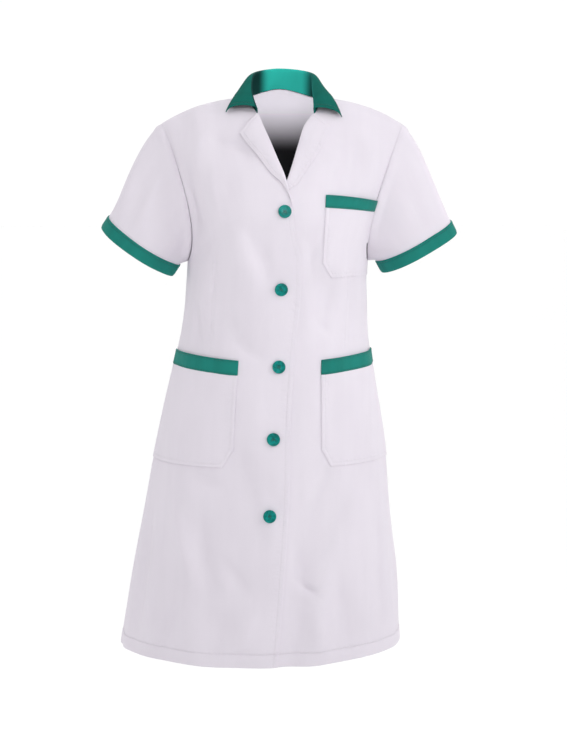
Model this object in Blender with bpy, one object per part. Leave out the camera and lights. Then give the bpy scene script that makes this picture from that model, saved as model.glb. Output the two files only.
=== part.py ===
"""Short-sleeved work tunic with a notched collar, buttoned down the front and filled out as worn.

Metres, +Z up, the front faces -Y. The origin is midway between the neck ends of the shoulder
seams, where the wearer's shoulders carry the cloth. "Right" and "left" are the wearer's, so the
right side is at -X.
"""

from math import cos, pi, radians, sin

import bmesh
import bpy
import numpy as np
from mathutils import Vector

# Cloth thicknesses, and the gap that keeps two cut pieces apart
WALL = 0.0015
SEAM_GAP = 0.0003
COLLAR_WALL = 0.0016
LAPEL_WALL = 0.0014
POCKET_WALL = 0.0012
BAND_WALL = 0.0018
CUFF_WALL = 0.0018

# Heights of the levels that carry an edge of something
HEM = -0.873
HIP_BOTTOM = -0.566
HIP_CORNER = -0.539
HIP_BAND_FOOT = -0.425
HIP_TOP = -0.403
CHEST_BOTTOM = -0.273
CHEST_CLEAR = -0.2155
UNDERARM = -0.250
CHEST_BAND_FOOT = -0.162
CHEST_TOP = -0.1425
BREAK_POINT = -0.160
COLLAR_END = -0.016
SHOULDER_TOP = 0.012
DOME_START = -0.060

# One row for each level, from the hem to the shoulder line. side_height is where the level meets
# the side, and the last three columns bend it over the shoulder.
LEVEL_COLUMNS = ("height", "side_height", "half_width", "front_depth", "back_depth",
                 "side_run", "side_rise", "neck_drop")
LEVELS = (
    (-0.873, -0.861, 0.2250, 0.168, 0.158, 0.000, 0.000, 0.000),
    (-0.749, -0.744, 0.2110, 0.160, 0.150, 0.000, 0.000, 0.000),
    (-0.646, -0.642, 0.1965, 0.152, 0.143, 0.000, 0.000, 0.000),
    (-0.566, -0.562, 0.1850, 0.146, 0.139, 0.000, 0.000, 0.000),
    (-0.493, -0.484, 0.1715, 0.138, 0.131, 0.000, 0.000, 0.000),
    (-0.416, -0.404, 0.1560, 0.127, 0.115, 0.000, 0.000, 0.000),
    (-0.365, -0.357, 0.1480, 0.122, 0.106, 0.000, 0.000, 0.000),
    (-0.314, -0.312, 0.1440, 0.123, 0.104, 0.000, 0.000, 0.000),
    (-0.250, -0.250, 0.1420, 0.131, 0.110, 0.000, 0.000, 0.000),
    (-0.190, -0.195, 0.1460, 0.131, 0.114, 0.000, 0.000, 0.000),
    (-0.130, -0.146, 0.1540, 0.119, 0.113, 0.004, 0.000, 0.000),
    (-0.070, -0.094, 0.1680, 0.097, 0.106, 0.014, 0.003, 0.002),
    (-0.020, -0.059, 0.1810, 0.078, 0.094, 0.028, 0.012, 0.005),
    (0.000, -0.043, 0.1880, 0.072, 0.088, 0.036, 0.021, 0.005),
    (0.012, -0.035, 0.1915, 0.070, 0.086, 0.042, 0.026, 0.005),
)
CENTRE_FULLNESS = 0.60
SIDE_FULLNESS = 0.60

# The hips carry the hem to the wearer's right, and the hem hangs lower on that side
LEAN = 0.0346
LEAN_POWER = 1.25
HEM_TILT = 0.007

# Rounded swells (out) and hollows (in) of the cloth: face is -1 for the front, 1 for the back,
# and run is how far the crest moves across for each metre up
SWELL_COLUMNS = ("face", "across", "height", "half_wide", "half_tall", "out", "run")
SWELLS = (
    (-1, -0.078, -0.232, 0.048, 0.062, 0.0080, 0.00),
    (-1, 0.078, -0.232, 0.048, 0.062, 0.0080, 0.00),
    (-1, -0.112, -0.345, 0.034, 0.070, -0.0050, 0.10),
    (-1, 0.112, -0.345, 0.034, 0.070, -0.0050, -0.10),
    (-1, 0.072, -0.880, 0.024, 0.230, 0.0060, 0.12),
    (-1, 0.034, -0.880, 0.018, 0.200, -0.0050, 0.10),
    (-1, -0.105, -0.880, 0.030, 0.260, 0.0050, -0.12),
    (-1, -0.150, -0.880, 0.022, 0.220, -0.0040, -0.12),
    (1, -0.085, -0.880, 0.030, 0.280, 0.0070, -0.12),
    (1, -0.030, -0.880, 0.026, 0.260, -0.0050, -0.05),
    (1, 0.030, -0.880, 0.028, 0.270, 0.0050, 0.05),
    (1, 0.090, -0.880, 0.030, 0.280, -0.0050, 0.12),
    (1, -0.075, -0.110, 0.055, 0.070, 0.0050, 0.00),
    (1, 0.075, -0.110, 0.055, 0.070, 0.0050, 0.00),
    (1, 0.000, -0.330, 0.035, 0.100, -0.0060, 0.00),
)
SWELL_SIDE_FADE = 0.35
SWELL_TOP_FADE = 0.050

# Armhole: half its width in front and behind, and the part of the way round where its edge
# leaves the side seam
ARMHOLE_FRONT = 0.055
ARMHOLE_BACK = 0.050
ARMHOLE_SQUARENESS = 0.18
ARMHOLE_TURNS = (0.15, 0.60)
ARMHOLE_INNERMOST = 0.30

# Neck seam seen from above, and how far the cloth climbs at the back of the neck
NECK_SIDE = 0.062
NECK_BACK = 0.058
NECK_SQUARENESS = 1.9
NECK_CLIMB = 0.026
NECK_CLIMB_RADIUS = 0.080

# Lines on a front, as distances from the centre line at each height
LINE_COLUMNS = ("height", "reach")
ROLL_LINE_RIGHT = ((-0.200, -0.0220), (-0.160, -0.0105), (-0.122, -0.0005), (-0.091, 0.0125),
                   (-0.065, 0.0230), (-0.038, 0.0342), (-0.014, 0.0436), (0.012, 0.0620))
ROLL_LINE_LEFT = ((-0.200, -0.0220), (-0.160, -0.0105), (-0.122, 0.0048), (-0.091, 0.0148),
                  (-0.065, 0.0224), (-0.038, 0.0310), (-0.024, 0.0405), (-0.014, 0.0480),
                  (0.012, 0.0620))
LAPEL_EDGE_RIGHT = ((-0.160, -0.0112), (-0.146, -0.0055), (-0.127, 0.0045), (-0.112, 0.0205),
                    (-0.081, 0.0430), (-0.063, 0.0575), (-0.044, 0.0700))
LAPEL_EDGE_LEFT = ((-0.160, -0.0070), (-0.147, 0.0030), (-0.130, 0.0165), (-0.105, 0.0325),
                   (-0.076, 0.0512), (-0.046, 0.0642), (-0.034, 0.0686))
LAP_EDGE = ((-0.873, 0.0160), (-0.740, 0.0200), (-0.620, 0.0225), (-0.500, 0.0205),
            (-0.410, 0.0230), (-0.360, 0.0255), (-0.300, 0.0290), (-0.245, 0.0270),
            (-0.210, 0.0180), (-0.160, 0.0105))
POCKET_LINE = ((-0.873, 0.0950), (-0.566, 0.0720), (-0.403, 0.0665), (-0.250, 0.0620),
               (-0.1425, 0.0644), (-0.070, 0.0760), (0.012, 0.0900))
UNDERLAP = 0.0220
POCKET_CORNER = 0.0150
POCKET_SHIFT_RIGHT = -0.0040
LAP_RAISE = WALL + 0.0008
LAP_FADE_START = 0.026
LAP_FADE = 0.050
LAP_TOP = -0.040
LAP_TOP_FADE = 0.080

# Lapel: clear of the front at its fold and at its edge, and how far short of each line it stops
LAPEL_START = -0.151
LAPEL_START_UNDER = -0.136
LAPEL_CROSSING_GAP = 0.0012
LAPEL_LIFT = 0.0006
LAPEL_LIFT_EDGE = 0.0030
LAPEL_TOP_GAP = 0.0008
LAPEL_SWELL_POWER = 0.7
LAPEL_CORNER_RIGHT = -0.0445
LAPEL_CORNER_LEFT = -0.0340
LAPEL_ROWS = 9
LAPEL_COLUMNS = 5

# Collar, from the middle of the back (around = 0) past the shoulder seam (0.5) to its front
# corner (1): the top of the roll, and where the fall's edge comes down, seen from above
COLLAR_COLUMNS = ("around", "roll_x", "roll_y", "roll_z", "edge_x", "edge_y")
COLLAR_RIGHT = (
    (0.00, 0.0000, 0.0600, 0.0530, 0.0000, 0.0800),
    (0.25, 0.0270, 0.0460, 0.0500, 0.0410, 0.0640),
    (0.50, 0.0450, 0.0080, 0.0425, 0.0655, 0.0080),
    (0.75, 0.0507, -0.0330, 0.0180, 0.0775, -0.0290),
    (1.00, 0.0465, -0.0620, -0.0075, 0.0890, -0.0525),
)
COLLAR_LEFT = (
    (0.00, 0.0000, 0.0600, 0.0530, 0.0000, 0.0800),
    (0.25, 0.0330, 0.0460, 0.0500, 0.0480, 0.0640),
    (0.50, 0.0485, 0.0080, 0.0425, 0.0670, 0.0080),
    (0.75, 0.0470, -0.0330, 0.0170, 0.0775, -0.0310),
    (1.00, 0.0470, -0.0630, -0.0095, 0.0885, -0.0600),
)
COLLAR_CLEAR = 0.0026
COLLAR_SEAT = 0.0005
ROLL_RADIUS = 0.0060
FULL_ROLL_RISE = 0.020
STAND_UPRIGHT = 0.55
FALL_START = 1.6
FALL_STEEP = 0.32
FALL_FLARE = 0.12
STAND_POINTS = 4
FALL_POINTS = 6

# Sleeve and cuff: the middle of each sleeve's open end, how steeply the arm hangs in degrees, and
# how far it points back
CUFF_DEPTH = 0.0195
ARM_COLUMNS = ("side", "end_x", "end_y", "end_z", "slope", "backward")
ARMS = (
    (-1, -0.2300, -0.0050, -0.2352, 56.0, 0.20),
    (1, 0.2186, -0.0050, -0.2375, 61.5, 0.13),
)
CUFF_HALF_HEIGHT = 0.0680
CUFF_HALF_WIDTH = 0.0470
SHOULDER_SLOPE = 40.0
UNDERARM_EASE = 0.50
SHOULDER_EASE = 0.42
UNDERARM_TURN = 0.40
SLEEVE_IN_CUFF = 0.985
SLEEVE_RINGS = 7

# Buttons
BUTTON_RADIUS = 0.0102
BUTTON_THICKNESS = 0.0030
BUTTON_RIM = 0.0020
BUTTON_DISH = 0.0009
BUTTON_ROUNDING = 0.0008
BUTTON_SEAT = 0.0005
BUTTON_SIDES = 24
BUTTON_COLUMNS = ("height", "across")
BUTTONS = ((-0.170, 0.0000), (-0.289, -0.0010), (-0.410, 0.0000), (-0.521, -0.0048),
           (-0.639, -0.0060))

# How finely the cloth is cut up, and the steps that curves are searched and measured with
BACK_NECK_COLUMNS = 5
BACK_SHOULDER_COLUMNS = 6
INNER_COLUMNS = 5
OUTER_COLUMNS = 5
PROBE = 1e-4
HALVINGS = 40
TINY = 1e-6


def column(table, names, name):
    """One named column of a table."""
    return np.array([row[names.index(name)] for row in table])


def named(table, names):
    """The rows of a table, each as a name for every value."""
    return [dict(zip(names, row)) for row in table]


def smooth_at(known, values, at):
    """A smooth curve through the known values that never overshoots them."""
    step = np.diff(known)
    slope = np.diff(values) / step
    tangent = np.zeros(len(known))
    same_way = slope[:-1] * slope[1:] > 0
    first, second = 2 * step[1:] + step[:-1], step[1:] + 2 * step[:-1]
    below = np.where(same_way, first * slope[1:] + second * slope[:-1], 1.0)
    tangent[1:-1] = np.where(
        same_way, (first + second) * slope[:-1] * slope[1:] / below, 0.0
    )
    tangent[0], tangent[-1] = slope[0], slope[-1]
    at = np.clip(at, known[0], known[-1])
    i = np.clip(np.searchsorted(known, at, side="right") - 1, 0, len(step) - 1)
    t = (at - known[i]) / step[i]
    return (
        values[i] * (1 + 2 * t) * (1 - t) ** 2
        + tangent[i] * step[i] * t * (1 - t) ** 2
        + values[i + 1] * t * t * (3 - 2 * t)
        + tangent[i + 1] * step[i] * t * t * (t - 1)
    )


def level(name, height):
    """A column of the level table at any height."""
    heights = column(LEVELS, LEVEL_COLUMNS, "height")
    return smooth_at(heights, column(LEVELS, LEVEL_COLUMNS, name), height)


def line(table, height):
    """How far from the centre line a named line is at a height."""
    heights = column(table, LINE_COLUMNS, "height")
    return smooth_at(heights, column(table, LINE_COLUMNS, "reach"), height)


def ease(x):
    """0 to 1 with no corner at either end."""
    x = np.clip(x, 0.0, 1.0)
    return x * x * (3 - 2 * x)


def arm_turn(height):
    """How far round the armhole a level is: 0 under the arm, 1 on the shoulder."""
    share = (height - UNDERARM) / (SHOULDER_TOP - UNDERARM)
    return np.arccos(1 - 2 * np.clip(share, 0, 1)) / pi


def height_at_turn(turn):
    """The level that is this far round the armhole."""
    return UNDERARM + (SHOULDER_TOP - UNDERARM) * (1 - np.cos(pi * turn)) / 2


def armhole_reach(height, face):
    """How far in front of the side seam, or behind it, the armhole's edge is."""
    width = ARMHOLE_FRONT if face < 0 else ARMHOLE_BACK
    turn = arm_turn(height)
    return width * np.sin(pi * turn) * (1 + ARMHOLE_SQUARENESS * np.cos(pi * turn))


def swell(height, face, across):
    """How far the swells and hollows push the cloth out."""
    total = 0.0
    for row in named(SWELLS, SWELL_COLUMNS):
        if row["face"] == face:
            rise = height - row["height"]
            shift = (across - row["across"] - row["run"] * rise) / row["half_wide"]
            total = total + row["out"] * np.exp(-(shift**2) - (rise / row["half_tall"]) ** 2)
    return total


def vector(x, y, z):
    """Points from three arrays of coordinates."""
    return np.stack(np.broadcast_arrays(x, y, z), axis=-1)


def body(height, face, t):
    """Points on the outside of the worn cloth. t is 0 at the centre line and 1 at the left side
    seam, -1 at the right one."""
    height, t = np.broadcast_arrays(np.asarray(height, float), np.asarray(t, float))
    side, a = np.where(t < 0, -1.0, 1.0), np.abs(t)
    dome = np.clip((height - DOME_START) / (SHOULDER_TOP - DOME_START), 0, 1)
    name = "front_depth" if face < 0 else "back_depth"
    depth = level(name, height) * np.sqrt(1 - dome**2)
    width, end_height = level("half_width", height), level("side_height", height)
    end_depth = armhole_reach(height, face) * ease(
        (arm_turn(height) - ARMHOLE_TURNS[0]) / (ARMHOLE_TURNS[1] - ARMHOLE_TURNS[0])
    )
    points = (
        (0 * a, depth, height),
        (CENTRE_FULLNESS * width, depth, height - level("neck_drop", height)),
        (width - level("side_run", height), end_depth + (depth - end_depth) * SIDE_FULLNESS,
         end_height + level("side_rise", height)),
        (width, end_depth, end_height),
    )
    weights = ((1 - a) ** 3, 3 * a * (1 - a) ** 2, 3 * a * a * (1 - a), a**3)
    across, out, up = (
        sum(weight * point[axis] for weight, point in zip(weights, points)) for axis in range(3)
    )
    across = side * across
    fade = ease((1 - a) / SWELL_SIDE_FADE) * ease((SHOULDER_TOP - height) / SWELL_TOP_FADE)
    out = out + swell(height, face, across) * fade + SEAM_GAP / 2
    if face > 0:
        near_neck = ease(1 - np.hypot(across, out - NECK_BACK) / NECK_CLIMB_RADIUS)
        up = up + NECK_CLIMB * near_neck
    share = np.clip(height / HEM, 0, 1)
    lean = -LEAN * share**LEAN_POWER
    return vector(across + lean, face * out, up + HEM_TILT * across * share**2)


def normal(height, face, t):
    """Unit vectors straight out of the cloth."""
    height, t = np.broadcast_arrays(np.asarray(height, float), np.asarray(t, float))
    top = np.minimum(height + PROBE, SHOULDER_TOP)
    along = body(height, face, t + PROBE) - body(height, face, t - PROBE)
    upward = body(top, face, t) - body(top - 2 * PROBE, face, t)
    out = np.cross(along, upward) * -face
    return out / np.linalg.norm(out, axis=-1, keepdims=True)


def solve(function, low, high):
    """Where a function that is below zero at low and above it at high is zero."""
    low, high = np.asarray(low, float), np.asarray(high, float)
    for _ in range(HALVINGS):
        middle = (low + high) / 2
        above = function(middle) > 0
        low, high = np.where(above, low, middle), np.where(above, middle, high)
    return (low + high) / 2


def side_end(height, face):
    """The t of a level's end: the side seam, or the armhole's edge above it."""
    height = np.asarray(height, float)
    reach = armhole_reach(height, face) + SEAM_GAP / 2
    trimmed = solve(lambda t: reach - np.abs(body(height, face, t)[..., 1]), 0 * height + ARMHOLE_INNERMOST,
                    0 * height + 1)
    whole = (arm_turn(height) <= 0) | (arm_turn(height) >= ARMHOLE_TURNS[1])
    return np.where(whole, 1.0, trimmed)


def lean_at(height):
    """How far a level has moved across with the hips."""
    return -LEAN * np.clip(height / HEM, 0, 1) ** LEAN_POWER


def t_at(height, face, across):
    """The t of the point that is this far from the centre line of its level."""
    height, across = np.broadcast_arrays(np.asarray(height, float), across)
    size = solve(
        lambda t: body(height, face, t)[..., 0] - lean_at(height) - np.abs(across),
        0 * height, 0 * height + 1,
    )
    return np.where(across < 0, -size, size)


def row_heights():
    """Every level that the panels share, from the hem to the shoulder line."""
    straight = ((HEM, 5), (HIP_BOTTOM, 1), (HIP_CORNER, 3), (HIP_BAND_FOOT, 1), (HIP_TOP, 4),
                (CHEST_BOTTOM, 1), (UNDERARM, 0))
    turns = ((UNDERARM, 5), (CHEST_BAND_FOOT, 1), (CHEST_TOP, 4), (COLLAR_END, 4),
             (SHOULDER_TOP, 0))
    heights = []
    for (low, count), (high, _) in zip(straight, straight[1:]):
        heights += list(np.linspace(low, high, count + 1)[:-1])
    for (low, count), (high, _) in zip(turns, turns[1:]):
        heights += list(height_at_turn(np.linspace(arm_turn(low), arm_turn(high), count + 1))[:-1])
    return np.array(heights + [SHOULDER_TOP])


def row_of(heights, height):
    """The index of the level at this height."""
    return int(np.argmin(np.abs(heights - height)))


def finish(name, colour, roughness, metallic=0.0):
    """A plain material."""
    material = bpy.data.materials.new(name)
    material.use_nodes = True
    shader = material.node_tree.nodes["Principled BSDF"]
    shader.inputs["Base Color"].default_value = (*colour, 1.0)
    shader.inputs["Roughness"].default_value = roughness
    shader.inputs["Metallic"].default_value = metallic
    material.diffuse_color = (*colour, 1.0)
    return material


def grid_triangles(rows, columns, ring=False):
    """Triangles over a grid of points, numbered row by row. A ring joins its last column to its
    first."""
    triangles = []
    for i in range(rows - 1):
        for j in range(columns if ring else columns - 1):
            a, b = i * columns + j, i * columns + (j + 1) % columns
            c, d = a + columns, b + columns
            triangles += [(a, b, c), (b, d, c)]
    return triangles


def edge_of(triangles):
    """The edges that only one triangle uses, in that triangle's direction."""
    edges = {(t[k], t[(k + 1) % 3]) for t in triangles for k in range(3)}
    return [edge for edge in edges if (edge[1], edge[0]) not in edges]


def solid(name, outer, inner, triangles, material):
    """One closed wall of cloth between two sets of matching points."""
    used = sorted({index for triangle in triangles for index in triangle})
    new_index = {old: new for new, old in enumerate(used)}
    triangles = [tuple(new_index[index] for index in triangle) for triangle in triangles]
    outer, inner = outer.reshape(-1, 3)[used], inner.reshape(-1, 3)[used]
    count = len(used)
    faces = list(triangles) + [(a + count, c + count, b + count) for a, b, c in triangles]
    smooth = len(faces)
    for a, b in sorted(edge_of(triangles)):
        faces += [(b, a, a + count), (b, a + count, b + count)]
    mesh = bpy.data.meshes.new(name)
    mesh.from_pydata([Vector(p) for p in np.vstack([outer, inner])], [], faces)
    for index, polygon in enumerate(mesh.polygons):
        polygon.use_smooth = index < smooth
    turned = bmesh.new()
    turned.from_mesh(mesh)
    if turned.calc_volume(signed=True) < 0:
        bmesh.ops.reverse_faces(turned, faces=turned.faces)
        turned.to_mesh(mesh)
    turned.free()
    mesh.materials.append(material)
    bpy.context.scene.collection.objects.link(bpy.data.objects.new(name, mesh))


def make_back(heights, material):
    """The back panel, with its neck cut out of the middle of its top edge."""
    neck = float(t_at(SHOULDER_TOP, 1, NECK_SIDE))
    half = np.concatenate([
        np.linspace(0, neck, BACK_NECK_COLUMNS + 1)[:-1],
        np.linspace(neck, 1, BACK_SHOULDER_COLUMNS + 1),
    ])
    shares = np.concatenate([-half[:0:-1], half])
    height, share = np.meshgrid(heights, shares, indexing="ij")
    tops = neck_top(shares, neck)
    start = CHEST_TOP
    stretch = (tops - start) / (SHOULDER_TOP - start)
    height = np.where(height > start, start + (height - start) * stretch, height)
    t = share * side_end(height, 1)
    outer = body(height, 1, t)
    inner = outer - normal(height, 1, t) * WALL
    solid("back", outer, inner, grid_triangles(*height.shape), material)


def neck_top(shares, neck):
    """The level where each column of the back meets the neck seam or the shoulder seam."""

    def inside(height):
        point = body(height, 1, shares)
        x, y = np.abs(point[..., 0]) / NECK_SIDE, np.abs(point[..., 1]) / NECK_BACK
        return 1 - x**NECK_SQUARENESS - y**NECK_SQUARENESS

    found = solve(inside, shares * 0 + CHEST_TOP, shares * 0 + SHOULDER_TOP)
    return np.where(np.abs(shares) < neck - TINY, found, SHOULDER_TOP)


def roll_reach(height, side):
    """How far from the centre line a front turns back at a height."""
    return line(ROLL_LINE_RIGHT if side < 0 else ROLL_LINE_LEFT, height)


def front_grid(heights, side):
    """Levels and t of a front panel's points: side is -1 for the right front, 1 for the left."""
    roll = roll_reach(heights, side)
    if side < 0:
        start = np.where(heights < BREAK_POINT, -line(LAP_EDGE, heights), roll)
    else:
        start = np.where(heights < ROLL_LINE_LEFT[0][0], -UNDERLAP, roll)
    pocket = line(POCKET_LINE, heights) + (POCKET_SHIFT_RIGHT if side < 0 else 0)
    start, pocket, corner = (
        t_at(heights, -1, x) for x in (start, pocket, pocket + POCKET_CORNER)
    )
    end = side_end(heights, -1)
    inner = [start + (pocket - start) * k / INNER_COLUMNS for k in range(INNER_COLUMNS)]
    outer = [corner + (end - corner) * k / OUTER_COLUMNS for k in range(OUTER_COLUMNS + 1)]
    t = side * np.stack(inner + [pocket] + outer, axis=1)
    return np.repeat(heights[:, None], t.shape[1], axis=1), t


def front_points(height, t, side, out):
    """Points on a front, moved straight out. The right front is raised over the left one."""
    if side < 0:
        across = body(height, -1, t)[..., 0] - lean_at(height)
        near = 1 - ease((-across - LAP_FADE_START) / LAP_FADE)
        out = out + LAP_RAISE * near * ease((LAP_TOP - height) / LAP_TOP_FADE)
    return body(height, -1, t) + normal(height, -1, t) * np.asarray(out)[..., None]


def make_front(name, heights, side, material):
    """A front panel from its closing edge and roll line to the side seam and armhole."""
    height, t = front_grid(heights, side)
    outer = front_points(height, t, side, 0 * t)
    inner = front_points(height, t, side, 0 * t - WALL)
    solid(name, outer, inner, grid_triangles(*t.shape), material)


def make_pocket(name, heights, side, top, band_foot, bottom, clear_below, materials):
    """A patch pocket and the band along its top, made from the front's own points. Below the
    height clear_below it stops one column short of the front's end."""
    height, t = front_grid(heights, side)
    columns = t.shape[1]
    first, last = INNER_COLUMNS, columns - 1
    rows = [row_of(heights, h) for h in (bottom, band_foot, top)]
    cut = rows[0] * columns + first
    clear = row_of(heights, clear_below) if clear_below > HEM else -1
    every = grid_triangles(*t.shape)

    def within(low, high):
        found = []
        for triangle in every:
            across = [i % columns for i in triangle]
            up = [i // columns for i in triangle]
            short = max(up) <= clear and max(across) == last
            if low <= min(up) and max(up) <= high and first <= min(across) and not short:
                found.append(triangle)
        return found

    cloth = [triangle for triangle in within(rows[0], rows[1]) if cut not in triangle]
    band = within(rows[1], rows[2])
    low = front_points(height, t, side, 0 * t + SEAM_GAP)
    high = front_points(height, t, side, 0 * t + SEAM_GAP + POCKET_WALL)
    solid(name, high, low, cloth, materials[0])
    clear_of_cloth = np.array([0, 0, SEAM_GAP])
    high = front_points(height, t, side, 0 * t + SEAM_GAP + BAND_WALL)
    solid(name + "_band", high + clear_of_cloth, low + clear_of_cloth, band, materials[1])


def make_lapel(name, side, material):
    """The front turned back along its roll line, lying on the front a little clear of it."""
    start = LAPEL_START if side < 0 else LAPEL_START_UNDER
    up = np.linspace(0, 1, LAPEL_ROWS)[:, None]
    over = np.linspace(0, 1, LAPEL_COLUMNS)[None, :]
    fold_height = start + (COLLAR_END - LAPEL_TOP_GAP - start) * up
    corner = LAPEL_CORNER_RIGHT if side < 0 else LAPEL_CORNER_LEFT
    edge_height = start + (corner - start) * up
    fold = roll_reach(fold_height, side)
    if side > 0:
        fold = np.maximum(fold, LAPEL_CROSSING_GAP - roll_reach(fold_height, -1))
    fold_t = t_at(fold_height, -1, fold)
    edge_line = LAPEL_EDGE_RIGHT if side < 0 else LAPEL_EDGE_LEFT
    edge_t = t_at(edge_height, -1, line(edge_line, edge_height))
    height = fold_height + (edge_height - fold_height) * over
    t = side * (fold_t + (edge_t - fold_t) * over)
    lift = LAPEL_LIFT + (LAPEL_LIFT_EDGE - LAPEL_LIFT) * np.sin(
        pi * over**LAPEL_SWELL_POWER
    ) * np.sqrt(up)
    low = front_points(height, t, side, lift + 0 * t)
    high = front_points(height, t, side, lift + LAPEL_WALL + 0 * t)
    solid(name, high, low, grid_triangles(*t.shape), material)


def cloth_height(x, y):
    """How high the cloth is at a point of the shoulders seen from above."""
    face = -1 if y < 0 else 1
    height = solve(
        lambda h: abs(y) - abs(body(h, face, t_at(h, face, x))[..., 1]), CHEST_TOP, SHOULDER_TOP
    )
    return float(body(height, face, t_at(height, face, x))[..., 2])


def collar_stations(heights, side):
    """How far round one side of the neck each section is, and the neck seam there, as if at +X."""
    neck = float(t_at(SHOULDER_TOP, 1, NECK_SIDE))
    shares = np.linspace(0, neck, BACK_NECK_COLUMNS + 1)
    behind = body(neck_top(shares, neck), 1, shares)
    above = heights[row_of(heights, COLLAR_END):-1][::-1]
    before = body(above, -1, t_at(above, -1, roll_reach(above, side)))
    round_front = (1 - arm_turn(above)) / (1 - arm_turn(COLLAR_END))
    around = np.concatenate([0.5 * shares / neck, 0.5 + 0.5 * round_front])
    return around, np.vstack([behind, before])


def cubic(points, count):
    """Points evenly along a cubic curve, both ends included."""
    t = np.linspace(0, 1, count)[:, None]
    a, b, c, d = (np.asarray(p)[None, :] for p in points)
    return a * (1 - t) ** 3 + b * 3 * t * (1 - t) ** 2 + c * 3 * t * t * (1 - t) + d * t**3


def collar_section(around, seam, side):
    """A section of the collar from its seam up the stand, over the roll and down the fall."""
    table = COLLAR_RIGHT if side < 0 else COLLAR_LEFT
    known = column(table, COLLAR_COLUMNS, "around")
    roll_x, roll_y, roll_z, edge_x, edge_y = (
        float(smooth_at(known, column(table, COLLAR_COLUMNS, name), around))
        for name in COLLAR_COLUMNS[1:]
    )
    up = np.array([0, 0, 1.0])
    base = seam + up * COLLAR_SEAT
    roll = np.array([roll_x, roll_y, roll_z])
    edge = np.array([edge_x, edge_y, cloth_height(edge_x, edge_y) + COLLAR_CLEAR + COLLAR_WALL])
    out = (edge - roll) * (1, 1, 0)
    out = out / np.linalg.norm(out)
    rise, drop = np.linalg.norm(roll - base), np.linalg.norm(edge - roll)
    bend = ROLL_RADIUS * min(1, rise / FULL_ROLL_RISE)
    stand = cubic((base, base + up * rise * STAND_UPRIGHT, roll - out * bend, roll), STAND_POINTS)
    land = (up * FALL_STEEP - out * FALL_FLARE) * drop
    fall = cubic((roll, roll + out * bend * FALL_START, edge + land, edge), FALL_POINTS)
    return np.vstack([stand, fall[1:]])


def grid_normals(points, ring=False):
    """Unit normals of a grid of points, from its neighbours along each way."""
    if ring:
        along = np.roll(points, -1, axis=1) - np.roll(points, 1, axis=1)
    else:
        along = np.gradient(points, axis=1)
    out = np.cross(along, np.gradient(points, axis=0))
    return out / np.linalg.norm(out, axis=-1, keepdims=True)


def make_collar(heights, material):
    """The collar: one stand and fall that run round the neck from corner to corner."""
    right, left = (
        np.array([collar_section(a, p, side) for a, p in zip(*collar_stations(heights, side))])
        for side in (-1, 1)
    )
    middle = np.vstack([right[:0:-1] * (-1, 1, 1), left])
    out = grid_normals(middle) * COLLAR_WALL / 2
    solid("collar", middle + out, middle - out, grid_triangles(*middle.shape[:2]), material)


def armhole_ring(heights, side):
    """The armhole's edge up the front and down the back, with the cloth's normals there."""
    up = heights[row_of(heights, UNDERARM):]
    points, normals = [], []
    for face, levels in ((-1, up), (1, up[-2:0:-1])):
        t = side * side_end(levels, face)
        points.append(body(levels, face, t))
        normals.append(normal(levels, face, t))
    turn = np.concatenate([arm_turn(up), arm_turn(up[-2:0:-1])])
    face = np.concatenate([0 * up - 1, 0 * up[-2:0:-1] + 1])
    return np.vstack(points), np.vstack(normals), turn, face


def arm_row(side):
    """The row of the sleeve on this side."""
    return next(row for row in named(ARMS, ARM_COLUMNS) if row["side"] == side)


def arm_axes(side):
    """The way the arm points, and the long and short ways across the sleeve's end."""
    row = arm_row(side)
    slope = radians(row["slope"])
    arm = np.array([side * cos(slope), row["backward"], -sin(slope)])
    arm = arm / np.linalg.norm(arm)
    long = np.array([side * sin(slope), 0, cos(slope)])
    short = np.cross(arm, long)
    return arm, long, short * np.sign(short[1])


def sleeve_end_ring(side, turn, face, back_from_end, larger=1.0):
    """A ring across the arm, this far back from the sleeve's open end."""
    arm, long, short = arm_axes(side)
    row = arm_row(side)
    centre = np.array([row["end_x"], row["end_y"], row["end_z"]])
    up = -np.cos(pi * turn)[:, None] * CUFF_HALF_HEIGHT * larger
    over = (face * np.sin(pi * turn))[:, None] * CUFF_HALF_WIDTH * larger
    return centre - arm * back_from_end + long * up + short * over


def make_sleeve(name, heights, side, material):
    """A short sleeve from the armhole's edge to the cuff."""
    seam, seam_normal, turn, face = armhole_ring(heights, side)
    arm, _, _ = arm_axes(side)
    end = sleeve_end_ring(side, turn, face, CUFF_DEPTH + SEAM_GAP, SLEEVE_IN_CUFF)
    top = turn[:, None]
    slope = radians(arm_row(side)["slope"]) * (1 - top) + radians(SHOULDER_SLOPE) * top
    leave = np.concatenate([side * np.cos(slope), 0 * slope, -np.sin(slope)], axis=1)
    along = np.roll(seam, -1, axis=0) - np.roll(seam, 1, axis=0)
    into = np.cross(seam_normal, along)
    into = into / np.linalg.norm(into, axis=1, keepdims=True)
    into = into * np.sign(np.sum(into * (seam.mean(axis=0) - seam), axis=1, keepdims=True))
    leave = leave * (UNDERARM_EASE + SHOULDER_EASE * top)
    _, out = sleeve_rings(seam, end, leave, arm)
    tilt = np.maximum(0, np.sum(out[0] * into, axis=1, keepdims=True))
    seam = seam + into * (SEAM_GAP + WALL * tilt)
    seam = seam + seam_normal * SEAM_GAP * np.clip(1 - top / UNDERARM_TURN, 0, 1)
    outer, out = sleeve_rings(seam, end, leave, arm)
    solid(
        name, outer, outer - out * WALL, grid_triangles(*outer.shape[:2], ring=True), material
    )


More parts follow.
